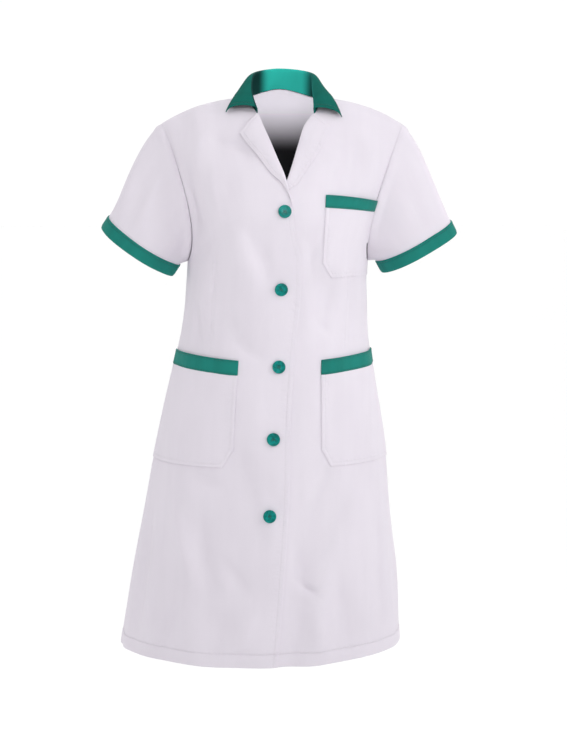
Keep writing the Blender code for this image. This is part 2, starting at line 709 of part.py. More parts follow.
def sleeve_rings(start, end, leave, arm):
    """Rings of points down a sleeve, with the cloth's normals there."""
    length = np.linalg.norm(end - start, axis=1, keepdims=True)
    rings = []
    for s in np.linspace(0, 1, SLEEVE_RINGS):
        rings.append(
            start * (2 * s**3 - 3 * s**2 + 1) + leave * length * (s**3 - 2 * s**2 + s)
            + end * (3 * s**2 - 2 * s**3) + arm * length * (s**3 - s**2)
        )
    rings = np.array(rings)
    out = grid_normals(rings, ring=True)
    away = np.sum(out[-1] * (rings[-1] - rings[-1].mean(axis=0)), axis=-1).mean()
    return rings, out * np.sign(away)


def make_cuff(name, heights, side, material):
    """The band round the sleeve's end."""
    _, _, turn, face = armhole_ring(heights, side)
    outer, inner = [], []
    for back in (CUFF_DEPTH, CUFF_DEPTH / 2, 0.0):
        outer.append(sleeve_end_ring(side, turn, face, back, 1.0))
        inner.append(sleeve_end_ring(side, turn, face, back, 1.0 - CUFF_WALL / CUFF_HALF_WIDTH))
    outer, inner = np.array(outer), np.array(inner)
    solid(name, outer, inner, grid_triangles(*outer.shape[:2], ring=True), material)


def make_button(name, height, across, material):
    """A round button with a raised rim, lying on the right front."""
    t = t_at(height, -1, across)
    seat = front_points(height, t, -1, BUTTON_SEAT + 0 * t)
    axis = normal(height, -1, t)
    across_way = np.cross((0, 0, 1), axis)
    across_way = across_way / np.linalg.norm(across_way)
    up_way = np.cross(axis, across_way)
    angles = np.arange(BUTTON_SIDES) * 2 * pi / BUTTON_SIDES
    profile = (
        (BUTTON_RADIUS - BUTTON_ROUNDING, 0.0),
        (BUTTON_RADIUS, BUTTON_ROUNDING),
        (BUTTON_RADIUS, BUTTON_THICKNESS - BUTTON_ROUNDING),
        (BUTTON_RADIUS - BUTTON_ROUNDING, BUTTON_THICKNESS),
        (BUTTON_RADIUS - BUTTON_RIM, BUTTON_THICKNESS),
        (BUTTON_RADIUS - BUTTON_RIM - BUTTON_DISH, BUTTON_THICKNESS - BUTTON_DISH),
    )
    made = bmesh.new()
    rings = []
    for radius, out in profile:
        ring = [
            made.verts.new(
                seat + axis * out + (across_way * cos(a) + up_way * sin(a)) * radius
            )
            for a in angles
        ]
        rings.append(ring)
    for low, high in zip(rings, rings[1:]):
        for k in range(BUTTON_SIDES):
            n = (k + 1) % BUTTON_SIDES
            made.faces.new((low[k], low[n], high[n], high[k])).smooth = True
    made.faces.new(rings[0][::-1])
    made.faces.new(rings[-1])
    bmesh.ops.recalc_face_normals(made, faces=made.faces)
    mesh = bpy.data.meshes.new(name)
    made.to_mesh(mesh)
    made.free()
    mesh.materials.append(material)
    bpy.context.scene.collection.objects.link(bpy.data.objects.new(name, mesh))


def main():
    """Makes every piece of the tunic."""
    for thing in list(bpy.data.objects):
        bpy.data.objects.remove(thing)
    white = finish("white_cloth", (0.78, 0.75, 0.83), 0.85)
    green = finish("green_cloth", (0.015, 0.20, 0.16), 0.80)
    plastic = finish("green_plastic", (0.012, 0.25, 0.21), 0.35)
    heights = row_heights()
    make_back(heights, white)
    make_front("front_right", heights, -1, white)
    make_front("front_left", heights, 1, white)
    hip = (HIP_TOP, HIP_BAND_FOOT, HIP_BOTTOM, HEM)
    chest = (CHEST_TOP, CHEST_BAND_FOOT, CHEST_BOTTOM, CHEST_CLEAR)
    make_pocket("pocket_hip_right", heights, -1, *hip, (white, green))
    make_pocket("pocket_hip_left", heights, 1, *hip, (white, green))
    make_pocket("pocket_chest", heights, 1, *chest, (white, green))
    make_lapel("lapel_right", -1, white)
    make_lapel("lapel_left", 1, white)
    make_collar(heights, green)
    for name, side in (("right", -1), ("left", 1)):
        make_sleeve("sleeve_" + name, heights, side, white)
        make_cuff("cuff_" + name, heights, side, green)
    for number, row in enumerate(named(BUTTONS, BUTTON_COLUMNS), 1):
        make_button(f"button_{number}", row["height"], row["across"], plastic)


if __name__ == "__main__":
    main()
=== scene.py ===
"""Looks of a short-sleeved work tunic with a notched collar, filled out as worn.

Metres, +Z up, the front faces -Y. Right and left are the wearer's, so the right side is at -X.
Each cloth piece repeats the surface that its solid was cut from on a finer grid, and adds its
creases, seams and sewing.
"""

from __future__ import annotations
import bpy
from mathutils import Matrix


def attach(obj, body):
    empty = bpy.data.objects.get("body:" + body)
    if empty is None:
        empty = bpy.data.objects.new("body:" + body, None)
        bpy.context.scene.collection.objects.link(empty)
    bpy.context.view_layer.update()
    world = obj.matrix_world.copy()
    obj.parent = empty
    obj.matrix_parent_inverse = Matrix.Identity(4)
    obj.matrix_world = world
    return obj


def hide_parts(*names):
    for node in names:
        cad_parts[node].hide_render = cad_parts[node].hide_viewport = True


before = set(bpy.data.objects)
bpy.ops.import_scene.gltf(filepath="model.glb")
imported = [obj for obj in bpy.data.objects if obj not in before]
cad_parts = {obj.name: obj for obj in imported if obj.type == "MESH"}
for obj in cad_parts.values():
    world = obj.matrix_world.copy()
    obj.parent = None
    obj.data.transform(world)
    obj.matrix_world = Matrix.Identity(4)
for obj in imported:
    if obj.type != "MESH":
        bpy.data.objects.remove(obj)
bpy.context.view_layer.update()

import logging
from collections.abc import Callable, Mapping, Sequence
from dataclasses import dataclass
from enum import Enum
from functools import cached_property
from math import cos, pi, radians, sin

import bpy
import numpy as np
from mathutils import Vector

Array = np.ndarray
Material = bpy.types.Material
Object = bpy.types.Object
Colour = tuple[float, float, float]
Spot = tuple[float, float]
LOG = logging.getLogger("tunic")
FAR = 1.0
THREAD_LIFT = 0.0001
SEWN = ("hem_line", "edge_line", "seam_line", "dart_line")


class Face(Enum):
    """The two faces of the worn tunic, by the way they look along Y."""

    FRONT = -1
    BACK = 1


class Side(Enum):
    """The wearer's sides, by the sign of X."""

    RIGHT = -1
    LEFT = 1

    @property
    def word(self) -> str:
        """The side's name in piece names."""
        return self.name.lower()


def ease(x: Array) -> Array:
    """0 to 1 with no corner at either end."""
    x = np.clip(x, 0.0, 1.0)
    return x * x * (3 - 2 * x)


def hump(x: Array) -> Array:
    """A soft bump of height 1 around 0."""
    return np.exp(-(x**2))


def vector(x: Array, y: Array, z: Array) -> Array:
    """Points from three arrays of coordinates."""
    return np.stack(np.broadcast_arrays(x, y, z), axis=-1)


def unit(v: Array) -> Array:
    """Vectors of length 1."""
    return v / np.maximum(np.linalg.norm(v, axis=-1, keepdims=True), 1e-12)


def lengths(grid: Array, axis: int) -> Array:
    """Distance along the rows (1) or the columns (0) of a grid of points, from its first one."""
    first = grid[:1] if axis == 0 else grid[:, :1]
    return np.linalg.norm(np.diff(grid, axis=axis, prepend=first), axis=-1).cumsum(axis=axis)


def solve(function: Callable[[Array], Array], low: Array, high: Array) -> Array:
    """Where a function that is below zero at low and above it at high is zero.

    Args:
        function: Takes and returns an array.
        low: Where the search starts.
        high: Where it ends.

    Returns:
        The crossing for each entry.
    """
    low, high = np.asarray(low, float), np.asarray(high, float)
    for _ in range(40):
        middle = (low + high) / 2
        above = function(middle) > 0
        low, high = np.where(above, low, middle), np.where(above, middle, high)
    return (low + high) / 2


@dataclass(frozen=True)
class Table:
    """Rows of sizes, with a name for every column. The first column rises down the rows."""

    columns: tuple[str, ...]
    rows: tuple[tuple[float, ...], ...]

    def column(self, name: str) -> Array:
        """One column's values."""
        return np.array([row[self.columns.index(name)] for row in self.rows])

    def named(self) -> list[dict[str, float]]:
        """Every row as a name for each value."""
        return [dict(zip(self.columns, row)) for row in self.rows]

    def at(self, name: str, where: Array) -> Array:
        """A column between its rows, on a smooth curve that never overshoots them.

        Args:
            name: The column.
            where: Values of the first column.

        Returns:
            The column's value at each of them.
        """
        known, values = self.column(self.columns[0]), self.column(name)
        step = np.diff(known)
        slope = np.diff(values) / step
        tangent = np.zeros(len(known))
        same_way = slope[:-1] * slope[1:] > 0
        first, second = 2 * step[1:] + step[:-1], step[1:] + 2 * step[:-1]
        below = np.where(same_way, first * slope[1:] + second * slope[:-1], 1.0)
        tangent[1:-1] = np.where(
            same_way, (first + second) * slope[:-1] * slope[1:] / below, 0.0
        )
        tangent[0], tangent[-1] = slope[0], slope[-1]
        where = np.clip(where, known[0], known[-1])
        i = np.clip(np.searchsorted(known, where, side="right") - 1, 0, len(step) - 1)
        t = (where - known[i]) / step[i]
        return (
            values[i] * (1 + 2 * t) * (1 - t) ** 2
            + tangent[i] * step[i] * t * (1 - t) ** 2
            + values[i + 1] * t * t * (3 - 2 * t)
            + tangent[i + 1] * step[i] * t * t * (t - 1)
        )


def line(*rows: Spot) -> Table:
    """A line on a front, as its distance from the centre line at each height."""
    return Table(("height", "reach"), rows)


def collar_table(*rows: tuple[float, ...]) -> Table:
    """One side of the collar: the top of its roll, and where its edge comes down.

    The rows go on mirrored past the middle of the back, so that the curves cross it smoothly.
    """
    mirrored = [(-a, -rx, ry, rz, -ex, ey) for a, rx, ry, rz, ex, ey in rows[:0:-1]]
    columns = ("around", "roll_x", "roll_y", "roll_z", "edge_x", "edge_y")
    return Table(columns, (*mirrored, *rows))


@dataclass(frozen=True)
class WornForm:
    """The surface that the worn cloth follows."""

    hem: float = -0.873
    underarm: float = -0.25
    shoulder_top: float = 0.012
    dome_start: float = -0.06
    seam_gap: float = 0.0003
    wall: float = 0.0015
    levels: Table = Table(
        ("height", "side_height", "half_width", "front_depth", "back_depth",
         "side_run", "side_rise", "neck_drop"),
        (
            (-0.873, -0.861, 0.225, 0.168, 0.158, 0.0, 0.0, 0.0),
            (-0.749, -0.744, 0.211, 0.16, 0.15, 0.0, 0.0, 0.0),
            (-0.646, -0.642, 0.1965, 0.152, 0.143, 0.0, 0.0, 0.0),
            (-0.566, -0.562, 0.185, 0.146, 0.139, 0.0, 0.0, 0.0),
            (-0.493, -0.484, 0.1715, 0.138, 0.131, 0.0, 0.0, 0.0),
            (-0.416, -0.404, 0.156, 0.127, 0.115, 0.0, 0.0, 0.0),
            (-0.365, -0.357, 0.148, 0.122, 0.106, 0.0, 0.0, 0.0),
            (-0.314, -0.312, 0.144, 0.123, 0.104, 0.0, 0.0, 0.0),
            (-0.25, -0.25, 0.142, 0.131, 0.11, 0.0, 0.0, 0.0),
            (-0.19, -0.195, 0.146, 0.131, 0.114, 0.0, 0.0, 0.0),
            (-0.13, -0.146, 0.154, 0.119, 0.113, 0.004, 0.0, 0.0),
            (-0.07, -0.094, 0.168, 0.097, 0.106, 0.014, 0.003, 0.002),
            (-0.02, -0.059, 0.181, 0.078, 0.094, 0.028, 0.012, 0.005),
            (0.0, -0.043, 0.188, 0.072, 0.088, 0.036, 0.021, 0.005),
            (0.012, -0.035, 0.1915, 0.07, 0.086, 0.042, 0.026, 0.005),
        ),
    )
    centre_fullness: float = 0.6
    side_fullness: float = 0.6
    lean_out: float = 0.0346
    lean_power: float = 1.25
    hem_tilt: float = 0.007
    swells: Table = Table(
        ("face", "across", "height", "half_wide", "half_tall", "out", "run"),
        (
            (-1, -0.078, -0.232, 0.048, 0.062, 0.008, 0.0),
            (-1, 0.078, -0.232, 0.048, 0.062, 0.008, 0.0),
            (-1, -0.112, -0.345, 0.034, 0.07, -0.005, 0.1),
            (-1, 0.112, -0.345, 0.034, 0.07, -0.005, -0.1),
            (-1, 0.072, -0.88, 0.024, 0.23, 0.006, 0.12),
            (-1, 0.034, -0.88, 0.018, 0.2, -0.005, 0.1),
            (-1, -0.105, -0.88, 0.03, 0.26, 0.005, -0.12),
            (-1, -0.15, -0.88, 0.022, 0.22, -0.004, -0.12),
            (1, -0.085, -0.88, 0.03, 0.28, 0.007, -0.12),
            (1, -0.03, -0.88, 0.026, 0.26, -0.005, -0.05),
            (1, 0.03, -0.88, 0.028, 0.27, 0.005, 0.05),
            (1, 0.09, -0.88, 0.03, 0.28, -0.005, 0.12),
            (1, -0.075, -0.11, 0.055, 0.07, 0.005, 0.0),
            (1, 0.075, -0.11, 0.055, 0.07, 0.005, 0.0),
            (1, 0.0, -0.33, 0.035, 0.1, -0.006, 0.0),
        ),
    )
    swell_side_fade: float = 0.35
    swell_top_fade: float = 0.05
    armhole_front: float = 0.055
    armhole_back: float = 0.05
    armhole_squareness: float = 0.18
    armhole_turns: Spot = (0.15, 0.6)
    armhole_innermost: float = 0.3
    neck_side: float = 0.062
    neck_back: float = 0.058
    neck_squareness: float = 1.9
    neck_climb: float = 0.026
    neck_climb_radius: float = 0.08
    probe: float = 1e-4

    def arm_turn(self, height: Array) -> Array:
        """How far round the armhole a level is: 0 under the arm, 1 on the shoulder."""
        share = (height - self.underarm) / (self.shoulder_top - self.underarm)
        return np.arccos(1 - 2 * np.clip(share, 0, 1)) / pi

    def height_at_turn(self, turn: Array) -> Array:
        """The level that is this far round the armhole."""
        return self.underarm + (self.shoulder_top - self.underarm) * (1 - np.cos(pi * turn)) / 2

    def armhole_reach(self, height: Array, face: Face) -> Array:
        """How far in front of the side seam, or behind it, the armhole's edge is."""
        width = self.armhole_front if face is Face.FRONT else self.armhole_back
        turn = self.arm_turn(height)
        return width * np.sin(pi * turn) * (1 + self.armhole_squareness * np.cos(pi * turn))

    def swell(self, height: Array, face: Face, across: Array) -> Array:
        """How far the swells and hollows push the cloth out."""
        total = 0.0
        for row in self.swells.named():
            if row["face"] == face.value:
                rise = height - row["height"]
                shift = (across - row["across"] - row["run"] * rise) / row["half_wide"]
                total = total + row["out"] * hump(shift) * hump(rise / row["half_tall"])
        return total

    def point(self, height: Array, face: Face, t: Array) -> Array:
        """Points on the outside of the cloth.

        Args:
            height: The level.
            face: Front or back.
            t: 0 at the centre line, 1 at the left side seam, -1 at the right one.

        Returns:
            Points, one for each height and t.
        """
        height, t = np.broadcast_arrays(np.asarray(height, float), np.asarray(t, float))
        side, a = np.where(t < 0, -1.0, 1.0), np.abs(t)
        dome = (height - self.dome_start) / (self.shoulder_top - self.dome_start)
        name = "front_depth" if face is Face.FRONT else "back_depth"
        depth = self.levels.at(name, height) * np.sqrt(1 - np.clip(dome, 0, 1) ** 2)
        width = self.levels.at("half_width", height)
        end_height = self.levels.at("side_height", height)
        first, last = self.armhole_turns
        opening = ease((self.arm_turn(height) - first) / (last - first))
        end_depth = self.armhole_reach(height, face) * opening
        points = (
            (0 * a, depth, height),
            (self.centre_fullness * width, depth, height - self.levels.at("neck_drop", height)),
            (width - self.levels.at("side_run", height),
             end_depth + (depth - end_depth) * self.side_fullness,
             end_height + self.levels.at("side_rise", height)),
            (width, end_depth, end_height),
        )
        weights = ((1 - a) ** 3, 3 * a * (1 - a) ** 2, 3 * a * a * (1 - a), a**3)
        across, out, up = (
            sum(weight * point[axis] for weight, point in zip(weights, points))
            for axis in range(3)
        )
        across = side * across
        fade = ease((1 - a) / self.swell_side_fade)
        fade = fade * ease((self.shoulder_top - height) / self.swell_top_fade)
        out = out + self.swell(height, face, across) * fade + self.seam_gap / 2
        if face is Face.BACK:
            near = 1 - np.hypot(across, out - self.neck_back) / self.neck_climb_radius
            up = up + self.neck_climb * ease(near)
        share = np.clip(height / self.hem, 0, 1)
        tilt = self.hem_tilt * across * share**2
        return vector(across + self.lean(height), face.value * out, up + tilt)

    def lean(self, height: Array) -> Array:
        """How far a level has moved across with the hips."""
        return -self.lean_out * np.clip(height / self.hem, 0, 1) ** self.lean_power

    def normal(self, height: Array, face: Face, t: Array) -> Array:
        """Unit vectors straight out of the cloth."""
        height, t = np.broadcast_arrays(np.asarray(height, float), np.asarray(t, float))
        top = np.minimum(height + self.probe, self.shoulder_top)
        along = self.point(height, face, t + self.probe) - self.point(height, face, t - self.probe)
        upward = self.point(top, face, t) - self.point(top - 2 * self.probe, face, t)
        return unit(np.cross(along, upward) * -face.value)

    def side_end(self, height: Array, face: Face) -> Array:
        """The t of a level's end: the side seam, or the armhole's edge above it."""
        height = np.asarray(height, float)
        reach = self.armhole_reach(height, face) + self.seam_gap / 2
        trimmed = solve(
            lambda t: reach - np.abs(self.point(height, face, t)[..., 1]),
            0 * height + self.armhole_innermost, 0 * height + 1,
        )
        turn = self.arm_turn(height)
        return np.where((turn <= 0) | (turn >= self.armhole_turns[1]), 1.0, trimmed)

    def t_at(self, height: Array, face: Face, across: Array) -> Array:
        """The t of the point that is this far from the centre line of its level."""
        height, across = np.broadcast_arrays(np.asarray(height, float), across)
        size = solve(
            lambda t: self.point(height, face, t)[..., 0] - self.lean(height) - np.abs(across),
            0 * height, 0 * height + 1,
        )
        return np.where(across < 0, -size, size)

    @cached_property
    def _girths(self) -> tuple[Array, dict[Face, Array]]:
        """Half the distance round each face, at a few levels."""
        heights = np.linspace(self.hem, self.shoulder_top, 48)
        ts = np.linspace(0, 1, 25)
        found = {}
        for face in Face:
            points = self.point(heights[:, None], face, ts[None, :])
            found[face] = np.linalg.norm(np.diff(points, axis=1), axis=-1).sum(axis=1)
        return heights, found

    def flat(self, height: Array, face: Face, t: Array) -> Array:
        """Where points lie once the cloth is laid flat: distance from the centre line, and up."""
        heights, found = self._girths
        girth = np.interp(height, heights, found[face])
        return np.stack(np.broadcast_arrays(t * girth, height), axis=-1)

    def rows(self, straight: int, turned: int, extra: Sequence[float] = ()) -> Array:
        """Levels from the hem to the shoulder, closer together over the shoulder.

        Args:
            straight: How many below the arm.
            turned: How many beside the armhole.
            extra: Further levels, such as those of a hem line.

        Returns:
            The levels, upwards.
        """
        low = np.linspace(self.hem, self.underarm, straight, endpoint=False)
        high = self.height_at_turn(np.linspace(0, 1, turned))
        return np.unique(np.concatenate([low, high, np.asarray(extra, float)]).round(7))


@dataclass(frozen=True)
class Crease:
    """A soft trough (out below zero) or ridge between two places on a piece.

    Places are a distance across and a height. bow bends the crease sideways at its middle, and
    steep makes its far flank that many times as wide as its near one.
    """

    start: Spot
    end: Spot
    wide: float
    out: float
    bow: float = 0.0
    steep: float = 1.0
    ends: float = 1.2

    def push(self, flat: Array, start: Array, end: Array) -> Array:
        """How far the crease moves each point out of the cloth.

        Args:
            flat: Points as they lie on the flat cloth.
            start: The crease's start there.
            end: Its end there.

        Returns:
            A distance for each point.
        """
        run = end - start
        length = np.linalg.norm(run)
        along = ((flat - start) @ run) / length**2
        u = np.clip(along, 0, 1)
        off = (flat[..., 0] - start[0]) * run[1] - (flat[..., 1] - start[1]) * run[0]
        off = off / length - self.bow * 4 * u * (1 - u)
        wide = np.where(off > 0, self.wide * self.steep, self.wide)
        return self.out * hump(off / wide) * np.sin(pi * u) ** self.ends


def creases(*rows: tuple[float, ...]) -> tuple[Crease, ...]:
    """Creases from rows of start, end, width, distance out, bow and steepness."""
    return tuple(Crease((x0, y0), (x1, y1), *rest) for x0, y0, x1, y1, *rest in rows)


@dataclass(frozen=True)
class Waves:
    """The slight unevenness that hanging cloth has all over."""

    seed: int
    out: float = 0.0013
    count: int = 7
    shortest: float = 0.06
    longest: float = 0.17
    lean: float = 0.35

    def push(self, flat: Array) -> Array:
        """How far the waves move each point of the flat cloth out."""
        chance = np.random.default_rng(self.seed)
        total = np.zeros(flat.shape[:-1])
        for _ in range(self.count):
            size = chance.uniform(self.shortest, self.longest)
            lean = chance.normal(0, self.lean)
            phase = chance.uniform(0, 2 * pi)
            along = flat[..., 0] * cos(lean) + flat[..., 1] * sin(lean)
            total += np.sin(2 * pi * along / size + phase)
        return total * self.out / self.count**0.5


def operator(operation: str, reflected: bool = False) -> Callable[[Value, Term], Value]:
    """A Python operator of Value that adds the nodes for a Math operation."""

    def method(self: Value, other: Term) -> Value:
        """This and another value, the other one first if reflected."""
        return self.shader.maths(operation, *((other, self) if reflected else (self, other)))

    return method


class Value:
    """A shader socket that can stand in a Python expression."""

    def __init__(self, shader: Shader, socket: bpy.types.NodeSocket | None) -> None:
        """Keeps the socket and the shader whose nodes the expression adds to."""
        self.shader = shader
        self.socket = socket

    @property
    def many(self) -> bool:
        """Whether the socket carries a vector or a colour."""
        return self.socket.type in ("VECTOR", "RGBA")

    __add__ = __radd__ = operator("ADD")
    __mul__ = __rmul__ = operator("MULTIPLY")
    __sub__, __rsub__ = operator("SUBTRACT"), operator("SUBTRACT", reflected=True)
    __truediv__, __rtruediv__ = operator("DIVIDE"), operator("DIVIDE", reflected=True)

    def __neg__(self) -> Value:
        """This with its sign turned."""
        return self.shader.maths("MULTIPLY", self, -1.0)

    def __abs__(self) -> Value:
        """This without its sign."""
        return self.shader.maths("ABSOLUTE", self)

    def axis(self, name: str) -> Value:
        """One coordinate of a vector, X, Y or Z."""
        return self.shader.node("ShaderNodeSeparateXYZ", {}, {"Vector": self}, name)


Term = Value | float | Sequence[float]


class Shader:
    """A material or a world, with its nodes added one expression at a time."""

    def __init__(self, owner: Material | bpy.types.World) -> None:
        """Empties the owner's node tree.

        Args:
            owner: What the nodes are for.
        """
        self.owner = owner
        owner.use_nodes = True
        self.tree = owner.node_tree
        self.tree.nodes.clear()

    @classmethod
    def named(cls, name: str) -> Shader:
        """A new material's shader."""
        return cls(bpy.data.materials.new(name))

    def node(
        self, kind: str, settings: Mapping[str, object], sockets: Mapping[str, Term],
        output: str | None = None,
    ) -> Value:
        """Adds one node.

        Args:
            kind: The node's type.
            settings: Its own settings, set before its sockets.
            sockets: A value or a link for each named input.
            output: The output to return, the first one if none is named.

        Returns:
            The chosen output.
        """
        made = self.tree.nodes.new(kind)
        for name, setting in settings.items():
            setattr(made, name, setting)
        for name, term in sockets.items():
            self.plug(made, name, term)
        found = [s for s in made.outputs if output in (None, s.identifier, s.name)]
        return Value(self, found[0] if found else None)

    def plug(self, made: bpy.types.Node, name: str, term: Term) -> None:
        """Links or sets one input of a node."""
        socket = next(s for s in made.inputs if name in (s.identifier, s.name))
        if isinstance(term, Value):
            self.tree.links.new(term.socket, socket)
        elif socket.type == "RGBA":
            socket.default_value = (*term, 1.0)
        else:
            socket.default_value = term

    def maths(self, operation: str, *terms: Term) -> Value:
        """A Math node for numbers, or a Vector Math node where a term is a vector or a colour."""
        many = any(t.many if isinstance(t, Value) else not np.isscalar(t) for t in terms)
        kind = "ShaderNodeVectorMath" if many else "ShaderNodeMath"
        made = self.tree.nodes.new(kind)
        made.operation = operation
        for socket, term in zip(made.inputs, terms):
            if isinstance(term, Value):
                self.tree.links.new(term.socket, socket)
            else:
                socket.default_value = (term,) * 3 if many and np.isscalar(term) else term
        return Value(self, made.outputs[0])

    def mix(self, share: Term, first: Term, second: Term) -> Value:
        """A colour between two, by a share from 0 to 1."""
        sockets = {"Factor_Float": share, "A_Color": first, "B_Color": second}
        return self.node("ShaderNodeMix", {"data_type": "RGBA"}, sockets, "Result_Color")

    def between(self, value: Term, low: float, high: float) -> Value:
        """0 at low, 1 at high and smooth between them."""
        sockets = {"Value": value, "From Min": low, "From Max": high}
        settings = {"interpolation_type": "SMOOTHSTEP"}
        return self.node("ShaderNodeMapRange", settings, sockets)

    def place(self) -> Value:
        """Where a point is on its own object."""
        return self.node("ShaderNodeTexCoord", {}, {}, "Object")

    def bump(self, height: Value) -> Value:
        """Raises the surface by a height in metres."""
        return self.node("ShaderNodeBump", {}, {"Height": height, "Distance": 1.0})

    def noise(self, place: Value, scale: float, detail: float = 2.0) -> Value:
        """Soft noise around 0.5, with this many lumps a metre."""
        sockets = {"Vector": place, "Scale": scale, "Detail": detail}
        return self.node("ShaderNodeTexNoise", {}, sockets)

    def finish(self, **sockets: Term) -> Material:
        """Ends the material in a Principled shader.

        Args:
            sockets: Its inputs, with underscores for spaces.

        Returns:
            The material.
        """
        named = {name.replace("_", " "): term for name, term in sockets.items()}
        shader = self.node("ShaderNodeBsdfPrincipled", {}, named)
        self.node("ShaderNodeOutputMaterial", {}, {"Surface": shader})
        return self.owner


@dataclass(frozen=True)
class Cloth:
    """Woven cotton and polyester: a fine twill with faint slubs, puckered along its sewing."""

    name: str
    colour: Colour
    clouded: Colour
    line_shade: float = 0.975
    roughness: float = 0.84
    sheen: float = 0.1
    gloss: float = 0.2
    twill_pitch: float = 0.0011
    twill_depth: float = 0.000035
    slub_depth: float = 0.00009
    crumple_depth: float = 0.0011
    line_width: float = 0.0009
    line_depth: float = 0.00022
    pucker_reach: float = 0.007
    pucker_depth: float = 0.001
    # The glow colour is painted light, an emission on cloth that is no lamp; shadow is the colour
    # that painted shade darkens the cloth towards.
    painted_glow: Colour = (0.0, 0.0, 0.0)
    shadow: Colour | None = None
    shadow_axis: str = "Z"
    shadow_middle: float = 0.0
    shadow_range: Spot = (0.01, 0.082)
    shadow_end: Spot = (0.42, 0.72)

    def make(self) -> Material:
        """Builds the material.

        Returns:
            The cloth's material.
        """
        shader = Shader.named(self.name)
        place = shader.node("ShaderNodeUVMap", {"uv_map": "cut"}, {})
        sewn = [
            shader.node("ShaderNodeAttribute", {"attribute_name": name}, {}, "Fac") for name in SEWN
        ]
        grooves = sum(self.near(shader, gap, self.line_width) for gap in sewn)
        puckers = sum(self.near(shader, gap, self.pucker_reach) for gap in sewn)
        ripple = shader.noise(place, 150.0, 1.0) - 0.5
        along, up = place.axis("X"), place.axis("Y")
        turns = (along + up * 0.6) * (2 * pi / self.twill_pitch)
        twill = shader.maths("SINE", turns)
        slubs = shader.noise(place * (900.0, 70.0, 1.0), 1.0) - 0.5
        crumple = shader.noise(place * (1.0, 0.55, 1.0), 26.0, 3.0) - 0.5
        height = twill * self.twill_depth + slubs * self.slub_depth
        height = height + crumple * self.crumple_depth - grooves * self.line_depth
        height = height + puckers * ripple * self.pucker_depth
        cloud = shader.noise(place, 9.0) * 0.6 + shader.noise(place * (1.0, 0.15, 1.0), 60.0) * 0.4
        colour = shader.mix(shader.between(cloud, 0.35, 0.65), self.colour, self.clouded)
        colour = colour * (1 - grooves * (1 - self.line_shade))
        painted_glow: Term = self.painted_glow
        # Painted shade: the colour darkens towards shadow by place, and the painted glow fades out
        # where it does.
        if self.shadow is not None:
            share = self.shaded(shader)
            colour = shader.mix(share, colour, self.shadow)
            painted_glow = shader.mix(share, self.painted_glow, (0.0, 0.0, 0.0))
        rough = self.roughness + (shader.noise(place, 40.0) - 0.5) * 0.1
        return shader.finish(
            Base_Color=colour, Roughness=rough, Normal=shader.bump(height), Emission_Color=painted_glow,
            Emission_Strength=float(any(self.painted_glow)), Sheen_Weight=self.sheen,
            Sheen_Roughness=0.5, Specular_IOR_Level=self.gloss,
        )

    def near(self, shader: Shader, gap: Value, reach: float) -> Value:
        """1 on a sewn line and 0 a little away from it."""
        scaled = gap / reach
        return shader.maths("EXPONENT", -(scaled * scaled))

    def shaded(self, shader: Shader) -> Value:
        """How far painted shade darkens the cloth inside the neck, the deeper or the farther to the
        sides it lies.
        """
        place = shader.place().axis(self.shadow_axis) - self.shadow_middle
        depth = abs(place) if self.shadow_axis == "X" else -place
        share = shader.between(depth, *self.shadow_range)
        return share * (1 - shader.between(depth, *self.shadow_end))


@dataclass(frozen=True)
class Moulded:
    """Glossy moulded plastic with a faint marbling."""

    name: str
    colour: Colour
    clouded: Colour
    roughness: float = 0.38
    gloss: float = 0.14
    coat: float = 0.04
    grain: float = 0.00004

    def make(self) -> Material:
        """Builds the material."""
        shader = Shader.named(self.name)
        place = shader.place()
        swirl = shader.between(shader.noise(place, 220.0, 3.0), 0.4, 0.62)
        fine = shader.noise(place, 900.0, 2.0) - 0.5
        return shader.finish(
            Base_Color=shader.mix(swirl, self.colour, self.clouded),
            Roughness=self.roughness + fine * 0.15, Normal=shader.bump(fine * self.grain),
            Coat_Weight=self.coat, Specular_IOR_Level=self.gloss,
        )


@dataclass(frozen=True)
class Thread:
    """Twisted sewing thread."""

    name: str
    colour: Colour
    clouded: Colour
    twist: float = 0.00008

    def make(self) -> Material:
        """Builds the material."""
        shader = Shader.named(self.name)
        place = shader.place()
        fibre = shader.noise(place, 2600.0, 2.0)
        colour = shader.mix(shader.between(fibre, 0.35, 0.65), self.colour, self.clouded)
        return shader.finish(
            Base_Color=colour, Roughness=0.55 + fibre * 0.15, Sheen_Weight=0.2,
            Normal=shader.bump(fibre * self.twist),
        )


@dataclass(frozen=True)
class Matt:
    """The studio's plain pale floor."""

    name: str
    colour: Colour
    lift: float = 0.09

    def make(self) -> Material:
        """Builds the material."""
        shader = Shader.named(self.name)
        place = shader.place()
        cloud = shader.noise(place, 0.4)
        shade = shader.mix(cloud, self.colour, tuple(0.985 * c for c in self.colour))
        return shader.finish(
            Base_Color=shade, Roughness=0.9, Emission_Color=self.colour,
            Emission_Strength=self.lift,
        )


